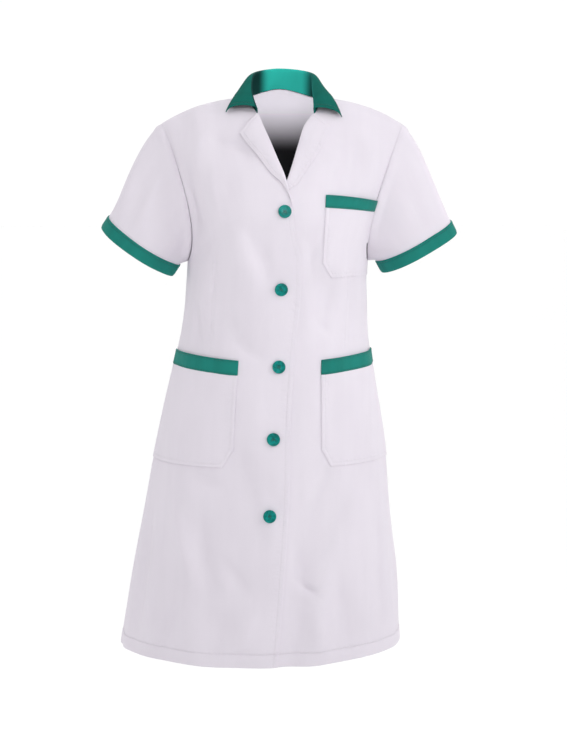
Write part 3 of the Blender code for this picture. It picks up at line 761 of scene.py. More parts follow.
@dataclass
class Wardrobe:
    """Every material of the tunic, made once."""

    white: Material
    white_inside: Material
    green: Material
    collar_outside: Material
    collar_stand: Material
    plastic: Material
    white_thread: Material
    green_thread: Material

    @classmethod
    def make(cls) -> Wardrobe:
        """Builds the finishes.

        Returns:
            The materials by name.
        """
        white, clouded = (0.745, 0.7, 0.768), (0.725, 0.68, 0.748)
        green, darker = (0.01, 0.215, 0.178), (0.008, 0.18, 0.148)
        return cls(
            white=Cloth("white_cloth", white, clouded).make(),
            # The inside finish has painted shade and a painted glow: it darkens to near black from
            # the neck down to 8 cm below it, lightens again towards the hem, and glows where it is
            # not darkened.
            white_inside=Cloth("white_cloth_inside_painted_shade_glow", white, clouded,
                               shadow=(0.012, 0.012, 0.014), painted_glow=(0.5, 0.48, 0.52),
                               shadow_range=(-0.004, 0.08)).make(),
            green=Cloth("green_cloth", green, darker, line_shade=0.86, sheen=0.03).make(),
            # The collar's outside is a darker copy of the band green: painted shade.
            collar_outside=Cloth("collar_cloth", (0.005, 0.128, 0.102), (0.004, 0.106, 0.084),
                                 line_shade=0.86, sheen=0.0, gloss=0.1).make(),
            # The stand is a brighter copy of the green with a painted glow in its middle, and
            # painted shade darkens it towards both sides.
            collar_stand=Cloth("collar_stand_cloth", (0.014, 0.35, 0.29),
                               (0.012, 0.31, 0.255), sheen=0.0, gloss=0.1,
                               shadow=(0.006, 0.048, 0.044), painted_glow=(0.016, 0.195, 0.168),
                               shadow_axis="X", shadow_middle=0.0085,
                               shadow_range=(0.0245, 0.0435)).make(),
            plastic=Moulded("green_plastic", (0.001, 0.26, 0.23), (0.001, 0.15, 0.132)).make(),
            white_thread=Thread("white_thread", (0.77, 0.73, 0.79), (0.7, 0.66, 0.72)).make(),
            green_thread=Thread("green_thread", (0.006, 0.13, 0.11), (0.004, 0.085, 0.07)).make(),
        )


def object_of(name: str, mesh: bpy.types.Mesh) -> Object:
    """Puts a mesh into the scene, riding on the tunic's one body.

    Args:
        name: The piece's name.
        mesh: Its mesh, in the row frame.

    Returns:
        The piece.
    """
    piece = bpy.data.objects.new(name, mesh)
    bpy.context.scene.collection.objects.link(piece)
    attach(piece, "root")
    return piece


def signed_volume(points: Array, quads: Array) -> float:
    """Volume inside a closed mesh of quads, below zero if it is inside out."""
    a, b, c, d = (points[quads[:, k]] for k in range(4))
    return float((a * np.cross(b, c)).sum() + (a * np.cross(c, d)).sum()) / 6


@dataclass
class Shell:
    """A thin closed wall of cloth between two matching grids of points.

    flat has the points as they lie on the cut cloth, and one more column than the others on a
    ring. sewn gives each point's distance from its sewn lines. lined marks the cells whose outer
    face has the inner finish too.
    """

    name: str
    outer: Array
    inner: Array
    flat: Array
    sewn: Mapping[str, Array]
    ring: bool = False
    round_edges: float = 1.0
    rim_steps: int = 4
    lined: Array | None = None

    def build(self, outside: Material, inside: Material) -> Object:
        """Makes the wall, with its edges rounded.

        Args:
            outside: The finish of the outer face and the edges.
            inside: The finish of the inner face.

        Returns:
            The piece.
        """
        rows, columns = self.outer.shape[:2]
        count = rows * columns
        grid = np.arange(count).reshape(rows, columns)
        cut = np.arange(self.flat.shape[0] * self.flat.shape[1]).reshape(self.flat.shape[:2])
        wrap = np.concatenate([grid, grid[:, :1]], axis=1) if self.ring else grid
        outer_quads, outer_cuts = self.quads_of(wrap), self.quads_of(cut)
        points = [self.outer.reshape(-1, 3), self.inner.reshape(-1, 3)]
        source = [np.arange(count), np.arange(count)]
        quads = [outer_quads, outer_quads[:, ::-1] + count]
        cuts = [outer_cuts, outer_cuts[:, ::-1]]
        made = 2 * count
        for loop, loop_cut in zip(self.loops(wrap), self.loops(cut)):
            closed = loop[:-1]
            last, size = closed, len(closed)
            ways = self.edge_ways(closed)
            top, low = points[0][closed], points[1][closed]
            middle, half = (top + low) / 2, (top - low) / 2
            thick = np.linalg.norm(half, axis=1, keepdims=True)
            for step in range(1, self.rim_steps):
                turn = pi * step / self.rim_steps
                points.append(
                    middle + half * cos(turn) + ways * thick * sin(turn) * self.round_edges
                )
                source.append(closed)
                ring = np.arange(made, made + size)
                quads.append(self.strip(last, ring))
                cuts.append(self.strip_cut(loop_cut))
                last, made = ring, made + size
            quads.append(self.strip(last, closed + count))
            cuts.append(self.strip_cut(loop_cut))
        points, quads, cuts = np.vstack(points), np.vstack(quads), np.vstack(cuts)
        if signed_volume(points, quads) < 0:
            quads, cuts = quads[:, ::-1], cuts[:, ::-1]
        mesh = bpy.data.meshes.new(self.name)
        mesh.from_pydata(points.tolist(), [], quads.tolist())
        mesh.shade_smooth()
        mesh.materials.append(outside)
        mesh.materials.append(inside)
        inner_faces = np.zeros(len(quads), np.int32)
        inner_faces[len(outer_quads):2 * len(outer_quads)] = 1
        if self.lined is not None:
            inner_faces[:len(outer_quads)] = self.lined.ravel()
        mesh.polygons.foreach_set("material_index", inner_faces)
        layer = mesh.uv_layers.new(name="cut")
        layer.uv.foreach_set("vector", self.flat.reshape(-1, 2)[cuts.ravel()].ravel())
        source = np.concatenate(source)
        for name in SEWN:
            gaps = np.asarray(self.sewn.get(name, np.full(count, FAR)), float).reshape(-1)
            values = mesh.attributes.new(name, "FLOAT", "POINT")
            values.data.foreach_set("value", gaps[source])
        return object_of(self.name, mesh)

    @staticmethod
    def quads_of(grid: Array) -> Array:
        """The four corners of every cell of a grid of numbers."""
        corners = (grid[:-1, :-1], grid[:-1, 1:], grid[1:, 1:], grid[1:, :-1])
        return np.stack(corners, axis=-1).reshape(-1, 4)

    @staticmethod
    def strip(low: Array, high: Array) -> Array:
        """Quads between two closed loops of points."""
        return np.stack([np.roll(low, -1), low, high, np.roll(high, -1)], axis=-1)

    @staticmethod
    def strip_cut(loop: Array) -> Array:
        """The places on the cut cloth of the corners of a strip."""
        return np.stack([loop[1:], loop[:-1], loop[:-1], loop[1:]], axis=-1)

    def loops(self, grid: Array) -> list[Array]:
        """The grid's free edges, each ending where it starts."""
        if self.ring:
            return [grid[0], grid[-1][::-1]]
        around = [grid[0, :-1], grid[:-1, -1], grid[-1, :0:-1], grid[:0:-1, 0], grid[:1, 0]]
        return [np.concatenate(around)]

    def edge_ways(self, closed: Array) -> Array:
        """The way out of the cloth at each point of a free edge."""
        rows, columns = self.outer.shape[:2]
        i, j = np.divmod(closed, columns)
        way = np.zeros((len(closed), 3))
        for at, step_i, step_j in (
            (i == 0, 1, 0), (i == rows - 1, -1, 0), (j == 0, 0, 1), (j == columns - 1, 0, -1)
        ):
            if self.ring and step_j:
                continue
            beside = np.clip(i + step_i, 0, rows - 1), np.clip(j + step_j, 0, columns - 1)
            way += np.where(at[:, None], unit(self.outer[i, j] - self.outer[beside]), 0)
        return unit(way)


@dataclass(frozen=True)
class Sewing:
    """A run of lock stitches along a line."""

    pitch: float = 0.0032
    length: float = 0.0026
    half_wide: float = 0.00034
    half_tall: float = 0.0003
    waist_places: tuple[float, ...] = (-0.5, -0.2, 0.2, 0.5)
    waist_sizes: tuple[float, ...] = (0.35, 1.0, 1.0, 0.35)
    probe: float = 1e-3

    def build(
        self, name: str, runs: Sequence[tuple[Array, Array]], finish: Material
    ) -> Object:
        """Makes every stitch of the runs as one mesh.

        Args:
            name: The piece's name.
            runs: Points along each line, with the cloth's normals there.
            finish: The thread.

        Returns:
            The piece.
        """
        shares = np.array(self.waist_places)[:, None, None] * self.length
        sizes = np.array(self.waist_sizes)[:, None, None]
        angles = (np.arange(4) * pi / 2 + pi / 4)[:, None]
        points, quads, made = [], [], 0
        for path, normals in runs:
            steps = np.linalg.norm(np.diff(path, axis=0), axis=1)
            along = np.concatenate([[0], np.cumsum(steps)])
            at = np.arange(self.pitch / 2, along[-1], self.pitch)

            def sample(of: Array, where: Array) -> Array:
                """Vectors part of the way along the line."""
                return vector(*(np.interp(where, along, of[:, k]) for k in range(3)))

            middle, out = sample(path, at), unit(sample(normals, at))
            way = unit(sample(path, at + self.probe) - sample(path, at - self.probe))
            across = unit(np.cross(way, out))
            middle, way, across, out = (v[:, None, None] for v in (middle, way, across, out))
            ring = (
                middle + way * shares + across * (np.cos(angles) * sizes * self.half_wide)
                + out * (np.sin(angles) * sizes * self.half_tall)
            )
            points.append(ring.reshape(-1, 3))
            cell = []
            for low in range(3):
                for k in range(4):
                    n = (k + 1) % 4
                    cell.append((low * 4 + k, low * 4 + n, low * 4 + 4 + n, low * 4 + 4 + k))
            cell += [(3, 2, 1, 0), (12, 13, 14, 15)]
            starts = made + 16 * np.arange(len(at))
            quads.append((starts[:, None, None] + np.array(cell)[None]).reshape(-1, 4))
            made += 16 * len(at)
        mesh = bpy.data.meshes.new(name)
        mesh.from_pydata(np.vstack(points).tolist(), [], np.vstack(quads).tolist())
        mesh.shade_smooth()
        mesh.materials.append(finish)
        return object_of(name, mesh)


def cut_size(points: Array) -> tuple[tuple[float, float], float]:
    """The size of the rectangle that a piece is cut from, and the piece's flat area.

    Args:
        points: A grid of points on the uncreased piece.

    Returns:
        (width, length) and the area.
    """
    across = np.linalg.norm(np.diff(points, axis=1), axis=-1)
    up = np.linalg.norm(np.diff(points, axis=0), axis=-1)
    width, length = float(across.sum(axis=1).max()), float(up.sum(axis=0).max())
    a, b = points[1:, 1:] - points[:-1, :-1], points[1:, :-1] - points[:-1, 1:]
    area = float(np.linalg.norm(np.cross(a, b), axis=-1).sum() / 2)
    return (width, length), min(area, width * length)


def declare(
    piece: Object, node: str, base: Array,
    runs: Sequence[tuple[Array, Array]] = (), thread: Material | None = None,
) -> None:
    """Sews a cloth piece, hides the CAD part it stands for and logs the size it was cut to.

    Args:
        piece: The cloth.
        node: The CAD node.
        base: A grid of points on the uncreased piece.
        runs: The lines of sewing on it.
        thread: What they are sewn with.
    """
    stitching = [Sewing().build(f"{node}_stitching", runs, thread)] if runs else []
    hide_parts(node)
    size, area = cut_size(base)
    LOG.info("%s: cut %.3f x %.3f m, %.4f m2", piece.name, *size, area)


@dataclass(frozen=True)
class Panel:
    """What the back and the fronts share: their form, creases, hem and seams."""

    form: WornForm
    face: Face
    creases: tuple[Crease, ...]
    waves: Waves
    hem_depth: float = 0.02
    hem_raise: float = 0.0005
    hem_lining: float = 0.001
    hem_step: float = 0.0015
    hem_rows: Spot = (0.0008, 0.002)
    seam_dip: float = 0.0007
    seam_reach: float = 0.003
    seam_calm: float = 0.018
    collar_reach: float = 0.145
    collar_foot: float = -0.095
    collar_calm: float = 0.03
    straight_rows: int = 150
    turned_rows: int = 84

    @cached_property
    def levels(self) -> Array:
        """The panel's rows, with a few more where the hem is turned up."""
        hem = self.form.hem
        extra = [hem + self.hem_depth + self.hem_step * k / 2 for k in range(-3, 4)]
        extra += [hem + above for above in self.hem_rows]
        return self.form.rows(self.straight_rows, self.turned_rows, extra)

    def placed(self, spot: Spot) -> Array:
        """A spot, given as distance across and height, on the flat cloth."""
        across, height = spot
        t = self.form.t_at(np.array(height), self.face, np.array(across))
        return self.form.flat(np.array(height), self.face, t)

    @cached_property
    def placed_creases(self) -> list[tuple[Crease, Array, Array]]:
        """The creases with their ends on the flat cloth."""
        return [(c, self.placed(c.start), self.placed(c.end)) for c in self.creases]

    def crumple(self, height: Array, t: Array) -> Array:
        """How far creases and waves move each point out."""
        flat = self.form.flat(height, self.face, t)
        total = self.waves.push(flat)
        for crease, start, end in self.placed_creases:
            total = total + crease.push(flat, start, end)
        total = total * ease(self.seam_gap(height, t) / self.seam_calm)
        x, y, z = np.moveaxis(self.form.point(height, self.face, t), -1, 0)
        near = ease((self.collar_reach - np.hypot(x, y)) / self.collar_calm)
        under = near * ease((z - self.collar_foot) / self.collar_calm)
        return np.where(total > 0, total * (1 - under), total)

    def surface(self, height: Array, t: Array, out: Array | float = 0.0) -> Array:
        """Points on the creased panel, moved straight out by a distance."""
        height, t, out = np.broadcast_arrays(height, t, out)
        out = out + self.crumple(height, t) + self.raised(height, t)
        return self.form.point(height, self.face, t) + (
            self.form.normal(height, self.face, t) * out[..., None]
        )

    def raised(self, height: Array, t: Array) -> Array:
        """How far the panel lies above the form, which only a lap does."""
        return 0 * height

    def hem_out(self, height: Array) -> Array:
        """1 below the line that holds the hem, 0 above it."""
        return 1 - ease((height - self.form.hem - self.hem_depth) / self.hem_step + 0.5)

    def side_gap(self, height: Array, t: Array) -> Array:
        """Distance from the side seam and the armhole."""
        end = self.form.side_end(self.levels, self.face)
        ends = np.interp(height, self.levels, end)
        edge = self.form.flat(height, self.face, ends)[..., 0]
        return edge - np.abs(self.form.flat(height, self.face, t)[..., 0])

    def seam_gap(self, height: Array, t: Array) -> Array:
        """Distance from the nearest of the side, armhole and shoulder seams."""
        shoulder = np.abs(self.form.point(height, self.face, t)[..., 1])
        return np.minimum(self.side_gap(height, t), shoulder)

    def walls(self, height: Array, t: Array) -> tuple[Array, Array]:
        """The panel's outer and inner points, with its hem turned up and its seams sunk."""
        hem = self.hem_out(height)
        dip = self.seam_dip * hump(self.seam_gap(height, t) / self.seam_reach)
        outer = self.surface(height, t, hem * self.hem_raise - dip)
        inner = self.surface(height, t, -self.form.wall - hem * self.hem_lining - dip)
        return outer, inner

    def run(self, height: Array, t: Array, out: float = 0.0002) -> tuple[Array, Array]:
        """A line of sewing on the panel: its points and the cloth's normals there."""
        points = self.surface(height, t, out + self.hem_out(height) * self.hem_raise)
        return points, self.form.normal(height, self.face, t)


@dataclass(frozen=True)
class Back(Panel):
    """The one back panel, cut on the fold, with the neck cut out of its top edge."""

    neck_columns: int = 26
    shoulder_columns: int = 46
    stretch_from: float = -0.1425

    def neck_top(self, shares: Array, neck: float) -> Array:
        """The level where each column meets the neck seam or the shoulder seam."""
        form = self.form

        def inside(height: Array) -> Array:
            """Above zero inside the neck seam."""
            point = form.point(height, Face.BACK, shares)
            x, y = point[..., 0] / form.neck_side, point[..., 1] / form.neck_back
            power = form.neck_squareness
            return 1 - np.abs(x) ** power - np.abs(y) ** power

        start, top = shares * 0 + self.stretch_from, shares * 0 + form.shoulder_top
        return np.where(np.abs(shares) < neck - 1e-6, solve(inside, start, top), top)

    def grid(self) -> tuple[Array, Array]:
        """Heights and t of the panel's points."""
        form = self.form
        neck = float(form.t_at(form.shoulder_top, Face.BACK, form.neck_side))
        half = np.concatenate([
            np.linspace(0, neck, self.neck_columns + 1)[:-1],
            np.linspace(neck, 1, self.shoulder_columns + 1),
        ])
        shares = np.concatenate([-half[:0:-1], half])
        height, share = np.meshgrid(self.levels, shares, indexing="ij")
        start = self.stretch_from
        stretch = (self.neck_top(shares, neck) - start) / (form.shoulder_top - start)
        height = np.where(height > start, start + (height - start) * stretch, height)
        return height, share * form.side_end(height, Face.BACK)

    def build(self, wardrobe: Wardrobe) -> None:
        """Makes the back and its hem stitching.

        Args:
            wardrobe: The finishes.
        """
        height, t = self.grid()
        outer, inner = self.walls(height, t)
        flat = self.form.flat(height, self.face, t)
        sewn = {
            "hem_line": height - self.form.hem - self.hem_depth,
            "seam_line": self.seam_gap(height, t),
        }
        piece = Shell("back_cloth", outer, inner, flat, sewn, round_edges=0.3).build(
            wardrobe.white, wardrobe.white_inside
        )
        hem = self.form.hem + self.hem_depth
        ts = np.linspace(-1, 1, 240)
        base = self.form.point(height, self.face, t)
        declare(piece, "back", base,
                [self.run(0 * ts + hem, ts)], wardrobe.white_thread)


@dataclass(frozen=True)
class Front(Panel):
    """A front panel, from its closing edge and roll line to the side seam and the armhole."""

    side: Side = Side.RIGHT
    break_point: float = -0.16
    roll_lines: tuple[Table, Table] = (
        line((-0.2, -0.022), (-0.16, -0.0105), (-0.122, -0.0005), (-0.091, 0.0125),
             (-0.065, 0.023), (-0.038, 0.0342), (-0.014, 0.0436), (0.012, 0.062)),
        line((-0.2, -0.022), (-0.16, -0.0105), (-0.122, 0.0048), (-0.091, 0.0148),
             (-0.065, 0.0224), (-0.038, 0.031), (-0.024, 0.0405), (-0.014, 0.048),
             (0.012, 0.062)),
    )
    lap_edge: Table = line(
        (-0.873, 0.016), (-0.74, 0.02), (-0.62, 0.0225), (-0.5, 0.0205),
        (-0.41, 0.023), (-0.36, 0.0255), (-0.3, 0.029), (-0.245, 0.027),
        (-0.21, 0.018), (-0.16, 0.0105),
    )
    underlap: float = 0.022
    lap_lift: float = 0.0023
    lap_fade_start: float = 0.026
    lap_fade: float = 0.05
    lap_top: float = -0.04
    lap_top_fade: float = 0.08
    columns: int = 104
    edge_stitch: float = 0.0058
    edge_spread: float = 1.06
    stitch_above: float = 0.004
    lap_calm: float = 0.02
    dart: tuple[Spot, Spot] = ((0.1075, -0.2), (0.105, -0.392))
    over: Front | None = None

    def crumple(self, height: Array, t: Array) -> Array:
        """How far folds move each point out, the same in both fronts where they lap."""
        own = super().crumple(height, t)
        if self.over is None:
            return own
        across = self.form.point(height, self.face, t)[..., 0] - self.form.lean(height)
        clear = ease((across - self.reach(self.lap_edge, height)) / self.lap_calm)
        lapped = (1 - clear) * ease((self.break_point - height) / self.lap_calm + 0.5)
        return own * (1 - lapped) + self.over.crumple(height, t) * lapped

    @property
    def roll_line(self) -> Table:
        """The line that this front turns back along."""
        return self.roll_lines[self.side is Side.LEFT]

    def raised(self, height: Array, t: Array) -> Array:
        """How far the right front lies above the left one."""
        if self.side is Side.LEFT:
            return 0 * height
        across = self.form.point(height, self.face, t)[..., 0] - self.form.lean(height)
        near = 1 - ease((-across - self.lap_fade_start) / self.lap_fade)
        return self.lap_lift * near * ease((self.lap_top - height) / self.lap_top_fade)

    def reach(self, table: Table, height: Array) -> Array:
        """How far from the centre line a named line is at a height."""
        return table.at("reach", height)

    def start(self, height: Array) -> Array:
        """Where the closing edge or the roll line is, as a distance from the centre line."""
        roll = self.reach(self.roll_line, height)
        if self.side is Side.RIGHT:
            return np.where(height < self.break_point, -self.reach(self.lap_edge, height), roll)
        return np.where(height < self.roll_line.rows[0][0], -self.underlap, roll)

    def t_of(self, height: Array, reach: Array) -> Array:
        """The t of points this far from the centre line, on this front's side."""
        return self.side.value * self.form.t_at(height, self.face, reach)

    def grid(self) -> tuple[Array, Array]:
        """Heights and t of the panel's points."""
        start = self.form.t_at(self.levels, self.face, self.start(self.levels))
        end = self.form.side_end(self.levels, self.face)
        share = np.linspace(0, 1, self.columns) ** self.edge_spread
        t = start[:, None] + (end - start)[:, None] * share[None, :]
        return np.repeat(self.levels[:, None], self.columns, axis=1), self.side.value * t

    def edge_gap(self, height: Array, t: Array) -> Array:
        """Distance from the closing edge."""
        flat = self.form.flat(height, self.face, t)[..., 0] * self.side.value
        edge = self.form.t_at(self.levels, self.face, self.start(self.levels))
        edge = np.interp(height, self.levels, edge)
        return flat - self.form.flat(height, self.face, edge)[..., 0]

    def dart_gap(self, height: Array, t: Array) -> Array:
        """Distance from the waist dart's seam."""
        (top_reach, top), (foot_reach, foot) = self.dart
        levels = np.linspace(foot, top, 12)
        reach = np.interp(levels, (foot, top), (foot_reach, top_reach))
        seam = np.interp(height, levels, self.form.t_at(levels, self.face, reach))
        gap = self.form.flat(height, self.face, t)[..., 0] * self.side.value
        gap = gap - self.form.flat(height, self.face, seam)[..., 0]
        beyond = np.maximum(0, np.maximum(height - top, foot - height))
        return np.where(beyond > 0, np.hypot(gap, beyond), np.abs(gap))

    def build(self, wardrobe: Wardrobe) -> None:
        """Makes the front, its hem and its edge stitching.

        Args:
            wardrobe: The finishes.
        """
        height, t = self.grid()
        outer, inner = self.walls(height, t)
        flat = self.form.flat(height, self.face, t)
        sewn = {
            "hem_line": height - self.form.hem - self.hem_depth,
            "seam_line": self.seam_gap(height, t),
            "dart_line": self.dart_gap(height, t),
        }
        hem = self.form.hem + self.hem_depth
        edge = self.start(np.array(hem))
        ends = self.form.t_at(np.array(hem), self.face, edge), 1.0
        ts = np.linspace(*ends, 140) * self.side.value
        runs = [self.run(0 * ts + hem, ts)]
        if self.side is Side.RIGHT:
            gap = self.edge_gap(height, t) - self.edge_stitch
            sewn["edge_line"] = np.where(height < self.break_point + self.stitch_above, gap, FAR)
            levels = np.linspace(self.form.hem + 0.003, self.break_point, 300)
            runs.append(self.run(levels, self.t_of(levels, self.start(levels) + self.edge_stitch)))
        name = f"front_{self.side.word}"
        piece = Shell(f"{name}_cloth", outer, inner, flat, sewn, round_edges=0.8).build(
            wardrobe.white, wardrobe.white_inside
        )
        base = self.form.point(height, self.face, t)
        declare(piece, name, base, runs, wardrobe.white_thread)


@dataclass(frozen=True)
class Pocket:
    """A patch pocket on a front, with the contrast band along its top."""

    name: str
    front: Front
    top: float
    band_foot: float
    corner: float
    bottom: float
    clear_below: float
    shift: float = 0.0
    inner_line: Table = line(
        (-0.873, 0.095), (-0.566, 0.072), (-0.403, 0.0665), (-0.25, 0.062),
        (-0.1425, 0.0644), (-0.07, 0.076), (0.012, 0.09),
    )
    corner_cut: float = 0.015
    outer_short: float = 0.02
    outer_inset: float = 0.0012
    cloth_wall: float = 0.0012
    band_wall: float = 0.0018
    stitch_in: float = 0.0055
    band_stitch_in: float = 0.0016
    slack: float = 0.0022
    pillow_side: float = 0.045
    pillow_foot: float = 0.16
    fold_out: float = 0.0003
    fold_in: float = 0.002
    fold_wide: float = 0.0022
    short_reach: float = 0.012
    underside: float = 0.9
    rows: int = 70
    columns: int = 60

    def grid(self, low: float, high: float, rows: int) -> tuple[Array, Array, Array]:
        """Heights, t and the share across of the pocket's points between two levels."""
        front, form = self.front, self.front.form
        levels = np.linspace(low, high, rows)
        cut = self.corner_cut * np.clip((self.corner - levels) / (self.corner - self.bottom), 0, 1)
        reach = front.reach(self.inner_line, levels) + self.shift + cut
        inner = form.t_at(levels, front.face, reach)
        end = form.side_end(levels, front.face)
        girth = form.flat(levels, front.face, 1.0 + 0 * levels)[..., 0]
        end = end - self.outer_inset / girth
        short = ease((self.clear_below - levels) / self.short_reach) * self.outer_short / girth
        share = np.linspace(0, 1, self.columns)
        t = inner[:, None] + (end - short - inner)[:, None] * share[None, :]
        return np.repeat(levels[:, None], self.columns, axis=1), front.side.value * t, share

    def edge_gap(self, height: Array, t: Array) -> Array:
        """Distance in from the pocket's sewn edges: inner side, corner, bottom and outer side."""
        form, face = self.front.form, self.front.face
        flat = form.flat(height, face, t) * (self.front.side.value, 1)
        inner = self.front.reach(self.inner_line, height) + self.shift
        side = flat[..., 0] - form.flat(height, face, form.t_at(height, face, inner))[..., 0]
        cut = unit(np.array([self.corner - self.bottom, self.corner_cut]))
        corner = side * cut[0] + (height - self.corner) * cut[1]
        return np.minimum.reduce([side, corner, height - self.bottom, self.outer_gap(height, t)])

    def outer_gap(self, height: Array, t: Array) -> Array:
        """Distance from the pocket's outer side."""
        return self.front.side_gap(height, t) - self.outer_inset

    def build(self, wardrobe: Wardrobe) -> None:
        """Makes the pocket, its band and their sewing.

        Args:
            wardrobe: The finishes.
        """
        front, form = self.front, self.front.form
        height, t, _ = self.grid(self.bottom, self.band_foot, self.rows)
        gap = self.edge_gap(height, t)
        pillow = self.slack * ease(gap / self.pillow_side)
        pillow = pillow * ease((height - self.bottom) / self.pillow_foot)
        fold = self.fold_out * hump((gap - self.fold_in) / self.fold_wide)
        low = front.surface(height, t, form.seam_gap + pillow * self.underside)
        high = front.surface(height, t, form.seam_gap + self.cloth_wall + pillow + fold)
        flat = form.flat(height, front.face, t)
        sewn = {"edge_line": np.minimum(gap - self.stitch_in, 1.0)}
        piece = Shell(f"{self.name}_cloth", high, low, flat, sewn, round_edges=0.7).build(
            wardrobe.white, wardrobe.white
        )
        runs = self.runs(self.cloth_wall + form.seam_gap)
        base = form.point(height, front.face, t)
        declare(piece, self.name, base, runs, wardrobe.white_thread)
        self.build_band(wardrobe)

    def build_band(self, wardrobe: Wardrobe) -> None:
        """Makes the band along the pocket's top."""
        front, form = self.front, self.front.form
        height, t, share = self.grid(self.band_foot + form.seam_gap, self.top, 22)
        slack = self.slack * np.sin(pi * share)[None, :] ** 0.7
        low = front.surface(height, t, form.seam_gap + slack * self.underside)
        high = front.surface(height, t, form.seam_gap + self.band_wall + slack)
        edge = np.minimum(self.top - height, height - self.band_foot)
        sewn = {"edge_line": edge - self.band_stitch_in}
        name = f"{self.name}_band"
        flat = form.flat(height, front.face, t)
        piece = Shell(f"{name}_cloth", high, low, flat, sewn).build(wardrobe.green, wardrobe.green)
        runs = []
        for level in (self.band_foot + self.band_stitch_in, self.top - self.band_stitch_in):
            at, ts, across = self.grid(level, level, 1)
            lift = self.band_wall + form.seam_gap + self.slack * np.sin(pi * across)[None, :] ** 0.7
            points = front.surface(at, ts, lift + THREAD_LIFT)
            runs.append((points[0], form.normal(at, front.face, ts)[0]))
        base = form.point(height, front.face, t)
        declare(piece, name, base, runs,
                wardrobe.green_thread)

    def runs(self, out: float) -> list[tuple[Array, Array]]:
        """The line of sewing down the inner side, round the corner and along the bottom."""
        front, form, inset = self.front, self.front.form, self.stitch_in
        levels = np.linspace(self.band_foot, self.corner, 60)
        side = front.reach(self.inner_line, levels) + self.shift + inset
        across = np.linspace(0, 1, 12)[1:]
        corner_levels = self.corner + (self.bottom + inset - self.corner) * across
        corner = side[-1] + (self.corner_cut - inset * 0.4) * across
        levels = np.concatenate([levels, corner_levels])
        ts = front.t_of(levels, np.concatenate([side, corner]))
        _, foot, _ = self.grid(self.bottom + inset, self.bottom + inset, 1)
        foot = foot[0][np.abs(foot[0]) > abs(ts[-1])]
        ts = np.concatenate([ts, foot])
        levels = np.concatenate([levels, 0 * foot + self.bottom + inset])
        return [(front.surface(levels, ts, out), form.normal(levels, front.face, ts))]


